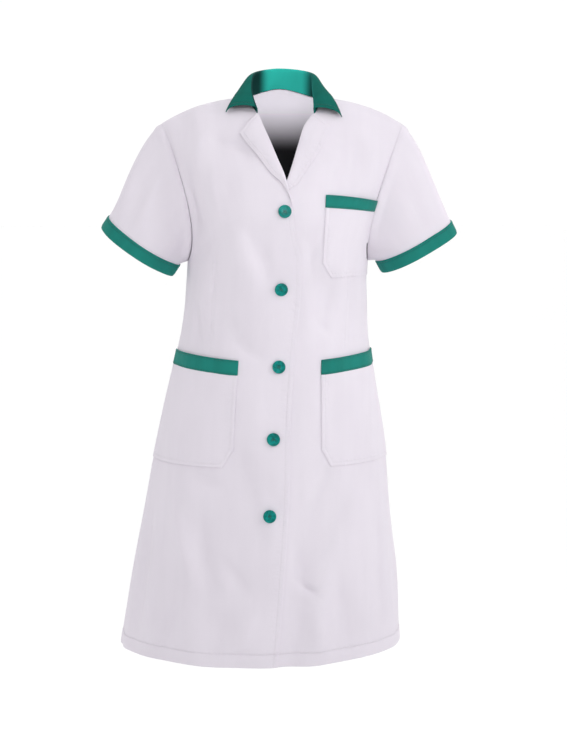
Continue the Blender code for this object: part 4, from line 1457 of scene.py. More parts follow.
@dataclass(frozen=True)
class Lapel:
    """A front turned back along its roll line, with a soft roll and a stitched edge."""

    front: Front
    start: float
    corner: float
    crossing_gap: float = 0.0012
    top: float = -0.0168
    edge_lines: tuple[Table, Table] = (
        line((-0.16, -0.0112), (-0.146, -0.0055), (-0.127, 0.0045), (-0.112, 0.0205),
             (-0.081, 0.043), (-0.063, 0.0575), (-0.044, 0.07)),
        line((-0.16, -0.007), (-0.147, 0.003), (-0.13, 0.0165), (-0.105, 0.0325),
             (-0.076, 0.0512), (-0.046, 0.0642), (-0.034, 0.0686)),
    )
    wall: float = 0.0014
    lift: float = 0.0006
    lift_edge: float = 0.003
    roll: float = 0.0021
    tuck: float = 1.35
    taper: float = 0.1
    taper_start: float = 0.25
    roll_start: float = 0.2
    probe: float = 0.08
    narrowest: float = 0.006
    stitch_in: float = 0.005
    bow: float = 0.0012
    rows: int = 90
    columns: int = 44
    roll_columns: int = 10

    def place(self, up: Array, over: Array) -> tuple[Array, Array]:
        """Height and t on the front below a place on the lapel.

        Args:
            up: 0 at the lapel's foot, 1 at its top.
            over: 0 at the roll, 1 at the outer edge.

        Returns:
            Heights and t.
        """
        front, form = self.front, self.front.form
        fold_height = self.start + (self.top - self.start) * up
        edge_height = self.start + (self.corner - self.start) * up
        fold = front.reach(front.roll_line, fold_height)
        if front.side is Side.LEFT:
            other = front.reach(front.roll_lines[0], fold_height)
            fold = np.maximum(fold, self.crossing_gap - other)
        fold_t = form.t_at(fold_height, front.face, fold)
        edge_line = self.edge_lines[front.side is Side.LEFT]
        edge_t = form.t_at(edge_height, front.face, front.reach(edge_line, edge_height))
        edge_t = fold_t + (edge_t - fold_t) * ease(self.taper_start + up / self.taper)
        height = fold_height + (edge_height - fold_height) * over
        return height, front.side.value * (fold_t + (edge_t - fold_t) * over)

    def rise(self, up: Array, over: Array) -> Array:
        """How far the lapel's underside lies above the front."""
        body = np.sin(pi * np.clip(over, 0, 1) ** 0.7) * up**0.5
        ripple = self.bow * np.sin(pi * 1.6 * up + 0.6) * over**2 * up
        return self.lift + (self.lift_edge - self.lift) * body + np.abs(ripple)

    def layer(self, up: Array, over: Array, thick: float) -> Array:
        """One face of the part of the lapel that lies on the front."""
        height, t = self.place(up, over)
        return self.front.surface(height, t, self.rise(up, over) + thick)

    def rolled(self, up: Array, thick: float) -> Array:
        """One face of the roll, from inside the neck round to the front."""
        form, face = self.front.form, self.front.face
        height, t = self.place(up, 0 * up)
        beside, beside_t = self.place(up, 0 * up + self.probe)
        seat = self.front.surface(height, t)
        out = form.normal(height, face, t)
        way = seat - self.front.surface(beside, beside_t)
        way = unit(way - out * np.sum(way * out, axis=-1, keepdims=True))
        small = ease(self.roll_start + up / self.taper)[..., None]
        size = (self.roll - self.wall + thick) * small
        top = (self.rise(up, 0 * up) + thick)[..., None]
        angles = np.linspace(pi / 2 + self.tuck * pi / 2, pi / 2, self.roll_columns + 1)[:-1]
        faces = []
        for angle in angles:
            faces.append(seat + out * (top - size + size * sin(angle)) - way * size * cos(angle))
        return np.concatenate(faces, axis=1)

    def build(self, wardrobe: Wardrobe) -> None:
        """Makes the lapel and its edge stitching.

        Args:
            wardrobe: The finishes.
        """
        front = self.front
        up = np.linspace(0, 1, self.rows)[:, None]
        over = np.linspace(0, 1, self.columns)[None, :]
        up_all, over_all = np.broadcast_arrays(up, over)
        outer = np.concatenate(
            [self.rolled(up, self.wall), self.layer(up_all, over_all, self.wall)], axis=1
        )
        inner = np.concatenate([self.rolled(up, 0.0), self.layer(up_all, over_all, 0.0)], axis=1)
        across, upward = lengths(outer, 1), lengths(outer, 0)
        flat = np.stack([across, upward], axis=-1)
        edge = across[:, -1:] - across
        top = (1 - np.concatenate([up] * outer.shape[1], axis=1)) * upward[-1:]
        sewn = {"edge_line": np.minimum(edge, top) - self.stitch_in}
        name = f"lapel_{front.side.word}"
        piece = Shell(f"{name}_cloth", outer, inner, flat, sewn).build(
            wardrobe.white, wardrobe.white
        )
        lying = across[:, -1] - across[:, self.roll_columns]
        inset = self.stitch_in / np.maximum(lying, self.narrowest)
        along = np.linspace(0.04, 1 - self.stitch_in / upward[-1, -1], 90)
        beside = 1 - np.interp(along, up[:, 0], inset)
        back_over = np.linspace(beside[-1], 0.06, 24)
        path_up = np.concatenate([along, 0 * back_over + along[-1]])
        path_over = np.concatenate([beside, back_over])
        height, t = self.place(path_up, path_over)
        points = self.layer(path_up, path_over, self.wall + THREAD_LIFT)
        runs = [(points, front.form.normal(height, front.face, t))]
        height, t = self.place(up_all, over_all)
        base = front.form.point(height, front.face, t)
        declare(piece, name, base, runs, wardrobe.white_thread)


@dataclass(frozen=True)
class Collar:
    """The green collar, a stand and a fall in one piece that runs round the neck."""

    form: WornForm
    fronts: tuple[Front, Front]
    back: Back
    end: float = -0.016
    right_shape: Table = collar_table(
        (0.0, 0.0, 0.06, 0.053, 0.0, 0.08),
        (0.25, 0.027, 0.046, 0.05, 0.041, 0.064),
        (0.5, 0.045, 0.008, 0.0425, 0.0655, 0.008),
        (0.75, 0.0507, -0.033, 0.018, 0.0775, -0.029),
        (1.0, 0.0465, -0.062, -0.0075, 0.089, -0.0525),
    )
    left_shape: Table = collar_table(
        (0.0, 0.0, 0.06, 0.053, 0.0, 0.08),
        (0.25, 0.033, 0.046, 0.05, 0.048, 0.064),
        (0.5, 0.0485, 0.008, 0.0425, 0.067, 0.008),
        (0.75, 0.047, -0.033, 0.017, 0.0775, -0.031),
        (1.0, 0.047, -0.063, -0.0095, 0.0885, -0.06),
    )
    clear: float = 0.0026
    seat: float = 0.0005
    wall: float = 0.0016
    roll_radius: float = 0.006
    full_roll_rise: float = 0.02
    stand_upright: float = 0.55
    fall_start: float = 1.6
    fall_steep: float = 0.32
    fall_flare: float = 0.12
    fall_lift: float = 0.0015
    fall_wave: float = 0.0005
    fall_wave_length: float = 0.017
    lowest: float = -0.1425
    stitch_in: float = 0.005
    stand_points: int = 16
    fall_points: int = 30
    behind: int = 26
    before: int = 34

    def cloth_height(self, x: Array, y: Array) -> Array:
        """How high the cloth is at points of the shoulders seen from above."""
        found = np.zeros(len(x))
        for face in Face:
            on = (y < 0) if face is Face.FRONT else (y >= 0)
            if on.any():
                across, out = x[on], np.abs(y[on])

                def above(height: Array) -> Array:
                    """How far a level lies inside the wanted place."""
                    t = self.form.t_at(height, face, across)
                    return out - np.abs(self.form.point(height, face, t)[..., 1])

                height = solve(above, 0 * across + self.lowest, 0 * across + self.form.shoulder_top)
                t = self.form.t_at(height, face, across)
                found[on] = self.form.point(height, face, t)[..., 2]
        return found

    def stations(self, front: Front) -> tuple[Array, Array]:
        """How far round the neck each section is, with the neck seam's points.

        Args:
            front: The front on the side that is wanted, taken as if it were at +X.

        Returns:
            Shares round and points.
        """
        form = self.form
        neck = float(form.t_at(form.shoulder_top, Face.BACK, form.neck_side))
        shares = np.linspace(0, neck, self.behind)
        seam = form.point(self.back.neck_top(shares, neck), Face.BACK, shares)
        turns = np.linspace(1, form.arm_turn(self.end), self.before + 1)[1:]
        above = form.height_at_turn(turns)
        t = form.t_at(above, Face.FRONT, front.reach(front.roll_line, above))
        around = 0.5 + 0.5 * (1 - turns) / (1 - turns[-1])
        around = np.concatenate([0.5 * shares / neck, around])
        return around, np.vstack([seam, form.point(above, Face.FRONT, t)])

    @staticmethod
    def cubic(points: Sequence[Array], count: int) -> Array:
        """Points along cubic curves, one curve for each row of the given points."""
        t = np.linspace(0, 1, count)[None, :, None]
        a, b, c, d = (p[:, None, :] for p in points)
        return a * (1 - t) ** 3 + b * 3 * t * (1 - t) ** 2 + c * 3 * t * t * (1 - t) + d * t**3

    def sections(self, front: Front) -> Array:
        """One side's sections from the middle of the back to the front corner, seam to edge."""
        around, seam = self.stations(front)
        shape = self.right_shape if front.side is Side.RIGHT else self.left_shape
        roll_x, roll_y, roll_z, edge_x, edge_y = (
            shape.at(name, around) for name in shape.columns[1:]
        )
        up = np.array([0, 0, 1.0])
        base = seam + up * self.seat
        roll = vector(roll_x, roll_y, roll_z)
        land = self.cloth_height(edge_x, edge_y) + self.clear + self.wall
        edge = vector(edge_x, edge_y, land)
        out = unit((edge - roll) * (1, 1, 0))
        rise = np.linalg.norm(roll - base, axis=1, keepdims=True)
        drop = np.linalg.norm(edge - roll, axis=1, keepdims=True)
        bend = self.roll_radius * np.minimum(1, rise / self.full_roll_rise)
        stand = self.cubic(
            (base, base + up * rise * self.stand_upright, roll - out * bend, roll),
            self.stand_points,
        )
        land = (up * self.fall_steep - out * self.fall_flare) * drop
        fall = self.cubic(
            (roll, roll + out * bend * self.fall_start, edge + land, edge), self.fall_points
        )
        return np.concatenate([stand, fall[:, 1:]], axis=1)

    def build(self, wardrobe: Wardrobe) -> None:
        """Makes the collar and its edge stitching.

        Args:
            wardrobe: The finishes.
        """
        right, left = (self.sections(front) for front in self.fronts)
        middle = np.concatenate([right[:0:-1] * (-1, 1, 1), left])
        points = self.stand_points + self.fall_points - 1
        share = np.arange(points) / (self.stand_points - 1)
        along, across = np.gradient(middle, axis=0), np.gradient(middle, axis=1)
        out = unit(np.cross(across, along))
        down, round_ = lengths(middle, 1), lengths(middle, 0)
        fall = ease((share - 1) * 1.2)[None, :]
        wave = self.fall_wave * np.sin(round_ / self.fall_wave_length + 0.8)
        middle = middle - out * ((self.fall_lift + wave) * fall)[..., None]
        outer, inner = middle + out * self.wall / 2, middle - out * self.wall / 2
        from_edge = down[:, -1:] - down
        from_end = np.minimum(round_, round_[-1:] - round_)
        on_fall = (np.arange(points) >= self.stand_points)[None, :]
        gap = np.where(on_fall, np.minimum(from_edge, from_end) - self.stitch_in, FAR)
        flat = np.stack([round_, down], axis=-1)
        # The stand's cells take the painted light and shade finish on both faces.
        cells = np.zeros((len(middle) - 1, points - 1), bool)
        cells[:, :self.stand_points - 1] = True
        piece = Shell("collar_cloth", inner, outer, flat, {"edge_line": gap}, lined=cells).build(
            wardrobe.collar_outside, wardrobe.collar_stand
        )
        runs = self.stitch_runs(outer, inner, down, round_)
        declare(piece, "collar", middle, runs,
                wardrobe.green_thread)

    def stitch_runs(
        self, outer: Array, inner: Array, down: Array, round_: Array
    ) -> list[tuple[Array, Array]]:
        """The line of sewing down both front ends and along the fall's edge."""
        out = unit(outer - inner)
        inset = np.array([
            np.interp(row[-1] - self.stitch_in, row, np.arange(len(row))) for row in down
        ])
        first = float(np.interp(self.stitch_in, round_[:, -1], np.arange(len(round_))))
        last = len(round_) - 1 - first
        downward = np.linspace(self.stand_points + 1, inset[int(first) + 1], 14)
        rows = np.linspace(first, last, 200)
        way_i = np.concatenate([0 * downward + first, rows, 0 * downward + last])
        way_j = np.concatenate(
            [downward, np.interp(rows, np.arange(len(inset)), inset), downward[::-1]]
        )
        points, normals = self.sampled(outer, way_i, way_j), self.sampled(out, way_i, way_j)
        sign = np.sign(np.sum(normals[:, 2]))
        if sign < 0:
            points, normals = self.sampled(inner, way_i, way_j), -normals
        return [(points + normals * THREAD_LIFT, normals)]

    @staticmethod
    def sampled(grid: Array, i: Array, j: Array) -> Array:
        """Values of a grid between its points."""
        low_i = np.clip(np.floor(i).astype(int), 0, grid.shape[0] - 2)
        low_j = np.clip(np.floor(j).astype(int), 0, grid.shape[1] - 2)
        a, b = (i - low_i)[:, None], (j - low_j)[:, None]
        return (
            grid[low_i, low_j] * (1 - a) * (1 - b) + grid[low_i + 1, low_j] * a * (1 - b)
            + grid[low_i, low_j + 1] * (1 - a) * b + grid[low_i + 1, low_j + 1] * a * b
        )


@dataclass(frozen=True)
class Arm:
    """Where a sleeve's open end is, and how steeply its arm hangs."""

    side: Side
    end: tuple[float, float, float]
    slope: float
    backward: float
    half_height: float = 0.068
    half_width: float = 0.047
    cuff_depth: float = 0.0195

    @cached_property
    def axes(self) -> tuple[Array, Array, Array]:
        """The way the arm points, and the long and short ways across the sleeve's end."""
        slope = radians(self.slope)
        arm = unit(np.array([self.side.value * cos(slope), self.backward, -sin(slope)]))
        long = np.array([self.side.value * sin(slope), 0, cos(slope)])
        short = np.cross(arm, long)
        return arm, long, short * np.sign(short[1])

    def ring(self, turn: Array, face: Array, back: float, larger: float = 1.0) -> Array:
        """A ring across the arm, this far back from the sleeve's open end.

        Args:
            turn: 0 under the arm, 1 on top, for each point.
            face: -1 in front and 1 behind.
            back: Distance from the open end.
            larger: Size over the cuff's.

        Returns:
            The ring's points.
        """
        arm, long, short = self.axes
        up = -np.cos(pi * turn)[:, None] * self.half_height * larger
        over = (face * np.sin(pi * turn))[:, None] * self.half_width * larger
        return np.array(self.end) - arm * back + long * up + short * over


@dataclass(frozen=True)
class Sleeve:
    """A short set-in sleeve and the green band that finishes it.

    A crease on it is placed by its distance round from the top of the arm, below zero in front,
    and its distance back from the open end.
    """

    form: WornForm
    arm: Arm
    creases: tuple[Crease, ...]
    waves: Waves
    shoulder_slope: float = 40.0
    underarm_ease: float = 0.5
    shoulder_ease: float = 0.42
    underarm_turn: float = 0.4
    in_cuff: float = 0.985
    cuff_wall: float = 0.0018
    cuff_proud: float = 0.0008
    cuff_stitch_in: float = 0.0022
    hem_line: float = 0.0225
    head_raise: float = 0.0014
    head_reach: float = 0.006
    cuff_under: float = 0.0006
    cuff_turn: float = 0.004
    seam_dip: float = 0.0006
    tuck: float = 0.0008
    seam_reach: float = 0.0028
    calm: float = 0.02
    half: int = 76
    rings: int = 92
    cuff_rings: int = 18

    @cached_property
    def armhole(self) -> tuple[Array, Array, Array, Array]:
        """The armhole's edge, the cloth's normals there, and how far round each point is."""
        form, side = self.form, self.arm.side.value
        up = form.height_at_turn(np.linspace(0, 1, self.half))
        points, normals, turns, faces = [], [], [], []
        for face, levels in ((Face.FRONT, up), (Face.BACK, up[-2:0:-1])):
            t = side * form.side_end(levels, face)
            points.append(form.point(levels, face, t))
            normals.append(form.normal(levels, face, t))
            turns.append(form.arm_turn(levels))
            faces.append(0 * levels + face.value)
        return (np.vstack(points), np.vstack(normals), np.concatenate(turns),
                np.concatenate(faces))

    def hermite(self, start: Array, end: Array, leave: Array) -> Array:
        """Rings from the armhole to the cuff, closer together at both ends."""
        s = (1 - np.cos(pi * np.linspace(0, 1, self.rings))) / 2
        s = (0.5 * s + 0.5 * np.linspace(0, 1, self.rings))[:, None, None]
        length = np.linalg.norm(end - start, axis=1, keepdims=True)[None]
        return (
            start * (2 * s**3 - 3 * s**2 + 1) + leave * length * (s**3 - 2 * s**2 + s)
            + end * (3 * s**2 - 2 * s**3) + self.arm.axes[0] * length * (s**3 - s**2)
        )

    @staticmethod
    def outward(rings: Array) -> Array:
        """Unit vectors out of a tube of rings."""
        along = np.roll(rings, -1, axis=1) - np.roll(rings, 1, axis=1)
        out = unit(np.cross(along, np.gradient(rings, axis=0)))
        away = np.sum(out[-1] * (rings[-1] - rings[-1].mean(axis=0)), axis=-1).mean()
        return out * np.sign(away)

    def plain(self) -> tuple[Array, Array]:
        """The uncreased sleeve's points and normals."""
        seam, seam_normal, turn, face = self.armhole
        end = self.arm.ring(turn, face, self.arm.cuff_depth + self.form.seam_gap, self.in_cuff)
        top = turn[:, None]
        slope = radians(self.arm.slope) * (1 - top) + radians(self.shoulder_slope) * top
        side = self.arm.side.value
        leave = np.concatenate([side * np.cos(slope), 0 * slope, -np.sin(slope)], axis=1)
        leave = leave * (self.underarm_ease + self.shoulder_ease * top)
        along = np.roll(seam, -1, axis=0) - np.roll(seam, 1, axis=0)
        into = unit(np.cross(seam_normal, along))
        into = into * np.sign(np.sum(into * (seam.mean(axis=0) - seam), axis=1, keepdims=True))
        out = self.outward(self.hermite(seam, end, leave))
        tilt = np.maximum(0, np.sum(out[0] * into, axis=1, keepdims=True))
        seam = seam + into * (self.form.wall * tilt - self.tuck)
        low = np.clip(1 - top / self.underarm_turn, 0, 1)
        rings = self.hermite(seam + seam_normal * self.form.seam_gap * low, end, leave)
        return rings, self.outward(rings)

    def crumple(self, flat: Array) -> Array:
        """How far creases and waves move each point of the sleeve or its band out."""
        total = self.waves.push(flat)
        for crease in self.creases:
            total = total + crease.push(flat, np.array(crease.start), np.array(crease.end))
        return total

    @property
    def half_round(self) -> float:
        """Half the way round the cuff."""
        return pi * (self.arm.half_height + self.arm.half_width) / 2

    def round_from_top(self) -> Array:
        """Distance round the arm from its top, at the size of the cuff."""
        _, _, turn, face = self.armhole
        return face * (1 - turn) * self.half_round

    def wrapped(self, flat: Array) -> Array:
        """Flat places with one more column, where the ring closes."""
        closed = np.concatenate([flat, flat[:, :1]], axis=1)
        closed[..., 0] = np.append(self.round_from_top(), self.half_round)[None, :]
        return closed

    def build(self, wardrobe: Wardrobe) -> None:
        """Makes the sleeve, its band and the band's stitching.

        Args:
            wardrobe: The finishes.
        """
        rings, out = self.plain()
        from_seam = lengths(rings, 0)
        from_end = self.arm.cuff_depth + from_seam[-1:] - from_seam
        around = self.round_from_top()
        flat = np.stack(np.broadcast_arrays(around[None, :], from_end), axis=-1)
        turn = self.armhole[2][None, :]
        push = self.crumple(flat) * ease(from_seam / self.calm)
        push = push - self.seam_dip * hump(from_seam / self.seam_reach)
        head = hump((from_seam - 1.5 * self.head_reach) / self.head_reach) * turn**1.5
        push = (push + self.head_raise * head)[..., None]
        outer, inner = rings + out * push, rings + out * (push - self.form.wall)
        word = self.arm.side.word
        wrapped = self.wrapped(flat)
        under = np.minimum(around.max() - np.abs(around), 1.0)[None, :] + 0 * from_end
        sewn = {"seam_line": np.minimum(under, from_seam), "hem_line": from_end - self.hem_line}
        piece = Shell(
            f"sleeve_{word}_cloth", outer, inner, wrapped, sewn, ring=True, round_edges=0.2
        ).build(wardrobe.white, wardrobe.white_inside)
        closed = np.concatenate([rings, rings[:, :1]], axis=1)
        declare(piece, f"sleeve_{word}", closed)
        self.build_cuff(wardrobe, word)

    def build_cuff(self, wardrobe: Wardrobe, word: str) -> None:
        """Makes the band round the sleeve's end, with its stitching."""
        _, _, turn, face = self.armhole
        backs = np.linspace(self.arm.cuff_depth + self.cuff_under, 0.0, self.cuff_rings)
        plain = np.array([self.arm.ring(turn, face, back) for back in backs])
        around = self.round_from_top()
        flat = np.stack(np.broadcast_arrays(around[None, :], backs[:, None]), axis=-1)
        out = self.outward(plain)
        proud = self.cuff_proud * ease(backs / self.cuff_turn)[:, None]
        push = (self.crumple(flat) + proud)[..., None]
        outer, inner = plain + out * push, plain + out * (push - self.cuff_wall)
        wrapped = self.wrapped(flat)
        from_top = (self.arm.cuff_depth - backs)[:, None] + 0 * around[None, :]
        sewn = {"edge_line": from_top - self.cuff_stitch_in}
        piece = Shell(f"cuff_{word}_cloth", outer, inner, wrapped, sewn, ring=True).build(
            wardrobe.green, wardrobe.green
        )
        row = int(np.argmin(np.abs(from_top[:, 0] - self.cuff_stitch_in)))
        path = np.concatenate([outer[row], outer[row, :1]])
        normals = np.concatenate([out[row], out[row, :1]])
        closed = np.concatenate([plain, plain[:, :1]], axis=1)
        declare(piece, f"cuff_{word}", closed,
                [(path + normals * THREAD_LIFT, normals)], wardrobe.green_thread)


@dataclass(frozen=True)
class Button:
    """A four-hole button with a raised rim, sewn on with crossed bars of thread."""

    number: int
    front: Front
    height: float
    across: float
    turned: float
    radius: float = 0.0102
    thickness: float = 0.003
    rim: float = 0.0022
    dish: float = 0.0009
    dish_floor: float = 1.05
    foot_round: float = 0.0009
    crown: float = 0.0011
    floor_left: float = 0.0006
    strand_gap: float = 0.8
    strand_rise: float = 0.0005
    strand_dip: float = 0.0012
    seat: float = 0.0006
    hole_radius: float = 0.00085
    hole_place: float = 0.0017
    thread_radius: float = 0.0003
    sides: int = 64

    @cached_property
    def axes(self) -> tuple[Array, Array, Array, Array]:
        """The button's centre, and its ways across, up and out."""
        form, face = self.front.form, self.front.face
        height = np.array(self.height)
        t = form.t_at(height, face, np.array(self.across))
        out = form.normal(height, face, t)
        across = unit(np.cross((0, 0, 1), out))
        up = np.cross(out, across)
        turn = radians(self.turned)
        return (self.front.surface(height, t, self.seat), across * cos(turn) + up * sin(turn),
                up * cos(turn) - across * sin(turn), out)

    @property
    def profile(self) -> list[Spot]:
        """(radius, height) from the middle of the underside round to the dish."""
        r, h, rim, dish = self.radius, self.thickness, self.rim, self.dish
        foot, crown = self.foot_round, self.crown
        edge = [
            (r - foot + foot * sin(a), foot - foot * cos(a))
            for a in np.linspace(0, pi / 2, 5)
        ]
        top = [
            (r - rim / 2 + rim / 2 * cos(a), h - crown + crown * sin(a))
            for a in np.linspace(0, pi, 11)
        ]
        bowl = [(r - rim - 0.0002, h - dish * 0.8), (r - rim - 0.0011, h - dish),
                (r * 0.42, h - dish * self.dish_floor)]
        return edge + top + bowl

    def face_heights(self, x: Array, y: Array) -> Array:
        """How deep the four holes pull in the middle of the button's face."""
        depth = np.zeros_like(x)
        for sx in (-1, 1):
            for sy in (-1, 1):
                away = np.hypot(x - sx * self.hole_place, y - sy * self.hole_place)
                wall = 1 - ease((away - self.hole_radius * 0.8) / (self.hole_radius * 0.45))
                depth = np.maximum(depth, wall)
        floor = self.thickness - self.dish * self.dish_floor
        return floor - depth * (self.thickness - self.dish - self.floor_left)

    def build(self, wardrobe: Wardrobe) -> None:
        """Makes the button and its thread.

        Args:
            wardrobe: The finishes.
        """
        centre, across, up, out = self.axes
        angles = np.arange(self.sides) * 2 * pi / self.sides
        radii, heights = map(np.array, zip(*self.profile))
        x, y = radii[:, None] * np.cos(angles), radii[:, None] * np.sin(angles)
        z = np.repeat(heights[:, None], self.sides, axis=1)
        inner = np.linspace(radii[-1], 0, 34)[1:-1]
        xi, yi = inner[:, None] * np.cos(angles), inner[:, None] * np.sin(angles)
        x, y = np.vstack([x, xi]), np.vstack([y, yi])
        z = np.vstack([z, self.face_heights(xi, yi)])
        points = centre + x[..., None] * across + y[..., None] * up + z[..., None] * out
        rows = len(points)
        grid = np.arange(rows * self.sides).reshape(rows, self.sides)
        wrap = np.concatenate([grid, grid[:, :1]], axis=1)
        quads = Shell.quads_of(wrap).tolist()
        ends = [centre + out * (self.thickness - self.dish * self.dish_floor), centre]
        middle, below, fans = rows * self.sides, rows * self.sides + 1, []
        for k in range(self.sides):
            n = (k + 1) % self.sides
            fans.append((int(grid[-1, k]), int(grid[-1, n]), middle))
            fans.append((int(grid[0, n]), int(grid[0, k]), below))
        name = f"button_{self.number}"
        mesh = bpy.data.meshes.new(f"{name}_disc")
        every = np.vstack([points.reshape(-1, 3), ends])
        mesh.from_pydata(every.tolist(), [], quads + fans)
        mesh.shade_smooth()
        mesh.materials.append(wardrobe.plastic)
        piece = object_of(f"{name}_disc", mesh)
        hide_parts(name)
        thread = self.thread(wardrobe)
        LOG.info("%s: %.1f mm across, at height %.3f", name, 2000 * self.radius, self.height)

    def thread(self, wardrobe: Wardrobe) -> Object:
        """The thread that holds the button: two upright bars and one across, each two strands."""
        centre, across, up, out = self.axes
        p, level = self.hole_place, self.thickness - self.dish + THREAD_LIFT
        bars = [((-p, -p), (-p, p)), ((p, -p), (p, p)), ((-p, 0.0), (p, 0.0))]
        curve = bpy.data.curves.new(f"button_{self.number}_thread", "CURVE")
        curve.dimensions = "3D"
        curve.bevel_depth = self.thread_radius
        curve.bevel_resolution = 2
        for (x0, y0), (x1, y1) in bars:
            for strand in (-self.strand_gap, self.strand_gap):
                aside = strand * self.thread_radius
                dx, dy = (aside, 0) if x0 == x1 else (0, aside)
                spline = curve.splines.new("POLY")
                steps = np.linspace(0, 1, 9)
                spline.points.add(len(steps) - 1)
                for point, s in zip(spline.points, steps):
                    bend = sin(pi * s)
                    arch = level + self.strand_rise * bend - self.strand_dip * (1 - bend) ** 6
                    spot = (
                        centre + across * (x0 + (x1 - x0) * s + dx)
                        + up * (y0 + (y1 - y0) * s + dy) + out * arch
                    )
                    point.co = (*spot, 1.0)
        curve.materials.append(wardrobe.green_thread)
        piece = bpy.data.objects.new(f"button_{self.number}_thread", curve)
        bpy.context.scene.collection.objects.link(piece)
        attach(piece, "root")
        return piece


@dataclass(frozen=True)
class Studio:
    """A plain pale floor, soft lights and the camera at the photograph's angle."""

    floor_drop: float = 0.43
    floor_size: float = 60.0
    front_sky: float = 0.36
    back_sky: float = 1.02
    top_sky: float = 1.1
    behind_range: Spot = (-0.3, 0.3)
    above_range: Spot = (0.25, 0.75)
    paint: Colour = (0.93, 0.93, 0.93)
    aim: tuple[float, float, float] = (0.0025, 0.0, -0.4393)
    distance: float = 3.964
    turn: float = -3.9
    eye_height: float = -0.05
    focal_px: float = 2490.0
    long_side_px: float = 756.0
    sensor: float = 36.0
    lamp_aim: float = -0.27
    lamps: Table = Table(
        ("x", "y", "z", "aim_x", "size", "spread", "watts"),
        (
            (2.6, -1.5, 0.9, -0.18, 0.7, 70.0, 3.5),
            (-2.4, -2.2, 0.4, 0.0, 2.0, 180.0, 3.0),
            (0.3, -3.1, 0.9, -0.06, 0.4, 34.0, 0.62),
        ),
    )

    def build(self, form: WornForm) -> None:
        """Makes the floor, the lights, the background and the camera.

        Args:
            form: The tunic's form, whose hem the floor lies below.
        """
        self.make_floor(form)
        for number, row in enumerate(self.lamps.named(), 1):
            self.make_lamp(number, row)
        self.make_sky()
        bpy.context.scene.view_settings.view_transform = "Standard"
        self.make_camera()

    def make_sky(self) -> None:
        """White all round: bright behind and overhead, dimmer in front where the lamps work."""
        shader = Shader(bpy.data.worlds.new("studio"))
        way = shader.node("ShaderNodeTexCoord", {}, {}, "Generated")
        behind = shader.between(way.axis("Y"), *self.behind_range)
        level = behind * (self.back_sky - self.front_sky) + self.front_sky
        over = shader.between(way.axis("Z"), *self.above_range)
        level = level * (1 - over) + over * self.top_sky
        sky = shader.node("ShaderNodeBackground", {}, {"Color": (1.0, 1.0, 1.0), "Strength": level})
        shader.node("ShaderNodeOutputWorld", {}, {"Surface": sky})
        bpy.context.scene.world = shader.owner

    def make_floor(self, form: WornForm) -> None:
        """A large pale floor, below the hem."""
        half, z = self.floor_size / 2, form.hem - self.floor_drop
        corners = [(-half, -half, z), (half, -half, z), (half, half, z), (-half, half, z)]
        mesh = bpy.data.meshes.new("floor")
        mesh.from_pydata(corners, [], [(0, 1, 2, 3)])
        mesh.materials.append(Matt("floor_paint", self.paint).make())
        floor = bpy.data.objects.new("floor", mesh)
        bpy.context.scene.collection.objects.link(floor)

    def make_lamp(self, number: int, row: Mapping[str, float]) -> None:
        """One soft lamp, turned to the tunic's chest."""
        data = bpy.data.lights.new(f"lamp_{number}", "AREA")
        data.shape, data.size, data.energy = "DISK", row["size"], row["watts"]
        data.spread = radians(row["spread"])
        lamp = bpy.data.objects.new(f"lamp_{number}", data)
        lamp.location = (row["x"], row["y"], row["z"])
        way = Vector((row["aim_x"], 0.0, self.lamp_aim)) - lamp.location
        lamp.rotation_euler = way.to_track_quat("-Z", "Y").to_euler()
        bpy.context.scene.collection.objects.link(lamp)

    def make_camera(self) -> None:
        """The camera, whose lens follows from the photograph's measured focal length."""
        data = bpy.data.cameras.new("camera")
        data.sensor_width = self.sensor
        data.lens = self.focal_px / self.long_side_px * self.sensor
        camera = bpy.data.objects.new("camera", data)
        turn, aim = radians(self.turn), Vector(self.aim)
        eye = Vector((aim.x + self.distance * sin(turn), -self.distance * cos(turn),
                      self.eye_height))
        camera.location = eye
        camera.rotation_euler = (aim - eye).to_track_quat("-Z", "Y").to_euler()
        bpy.context.scene.collection.objects.link(camera)
        bpy.context.scene.camera = camera


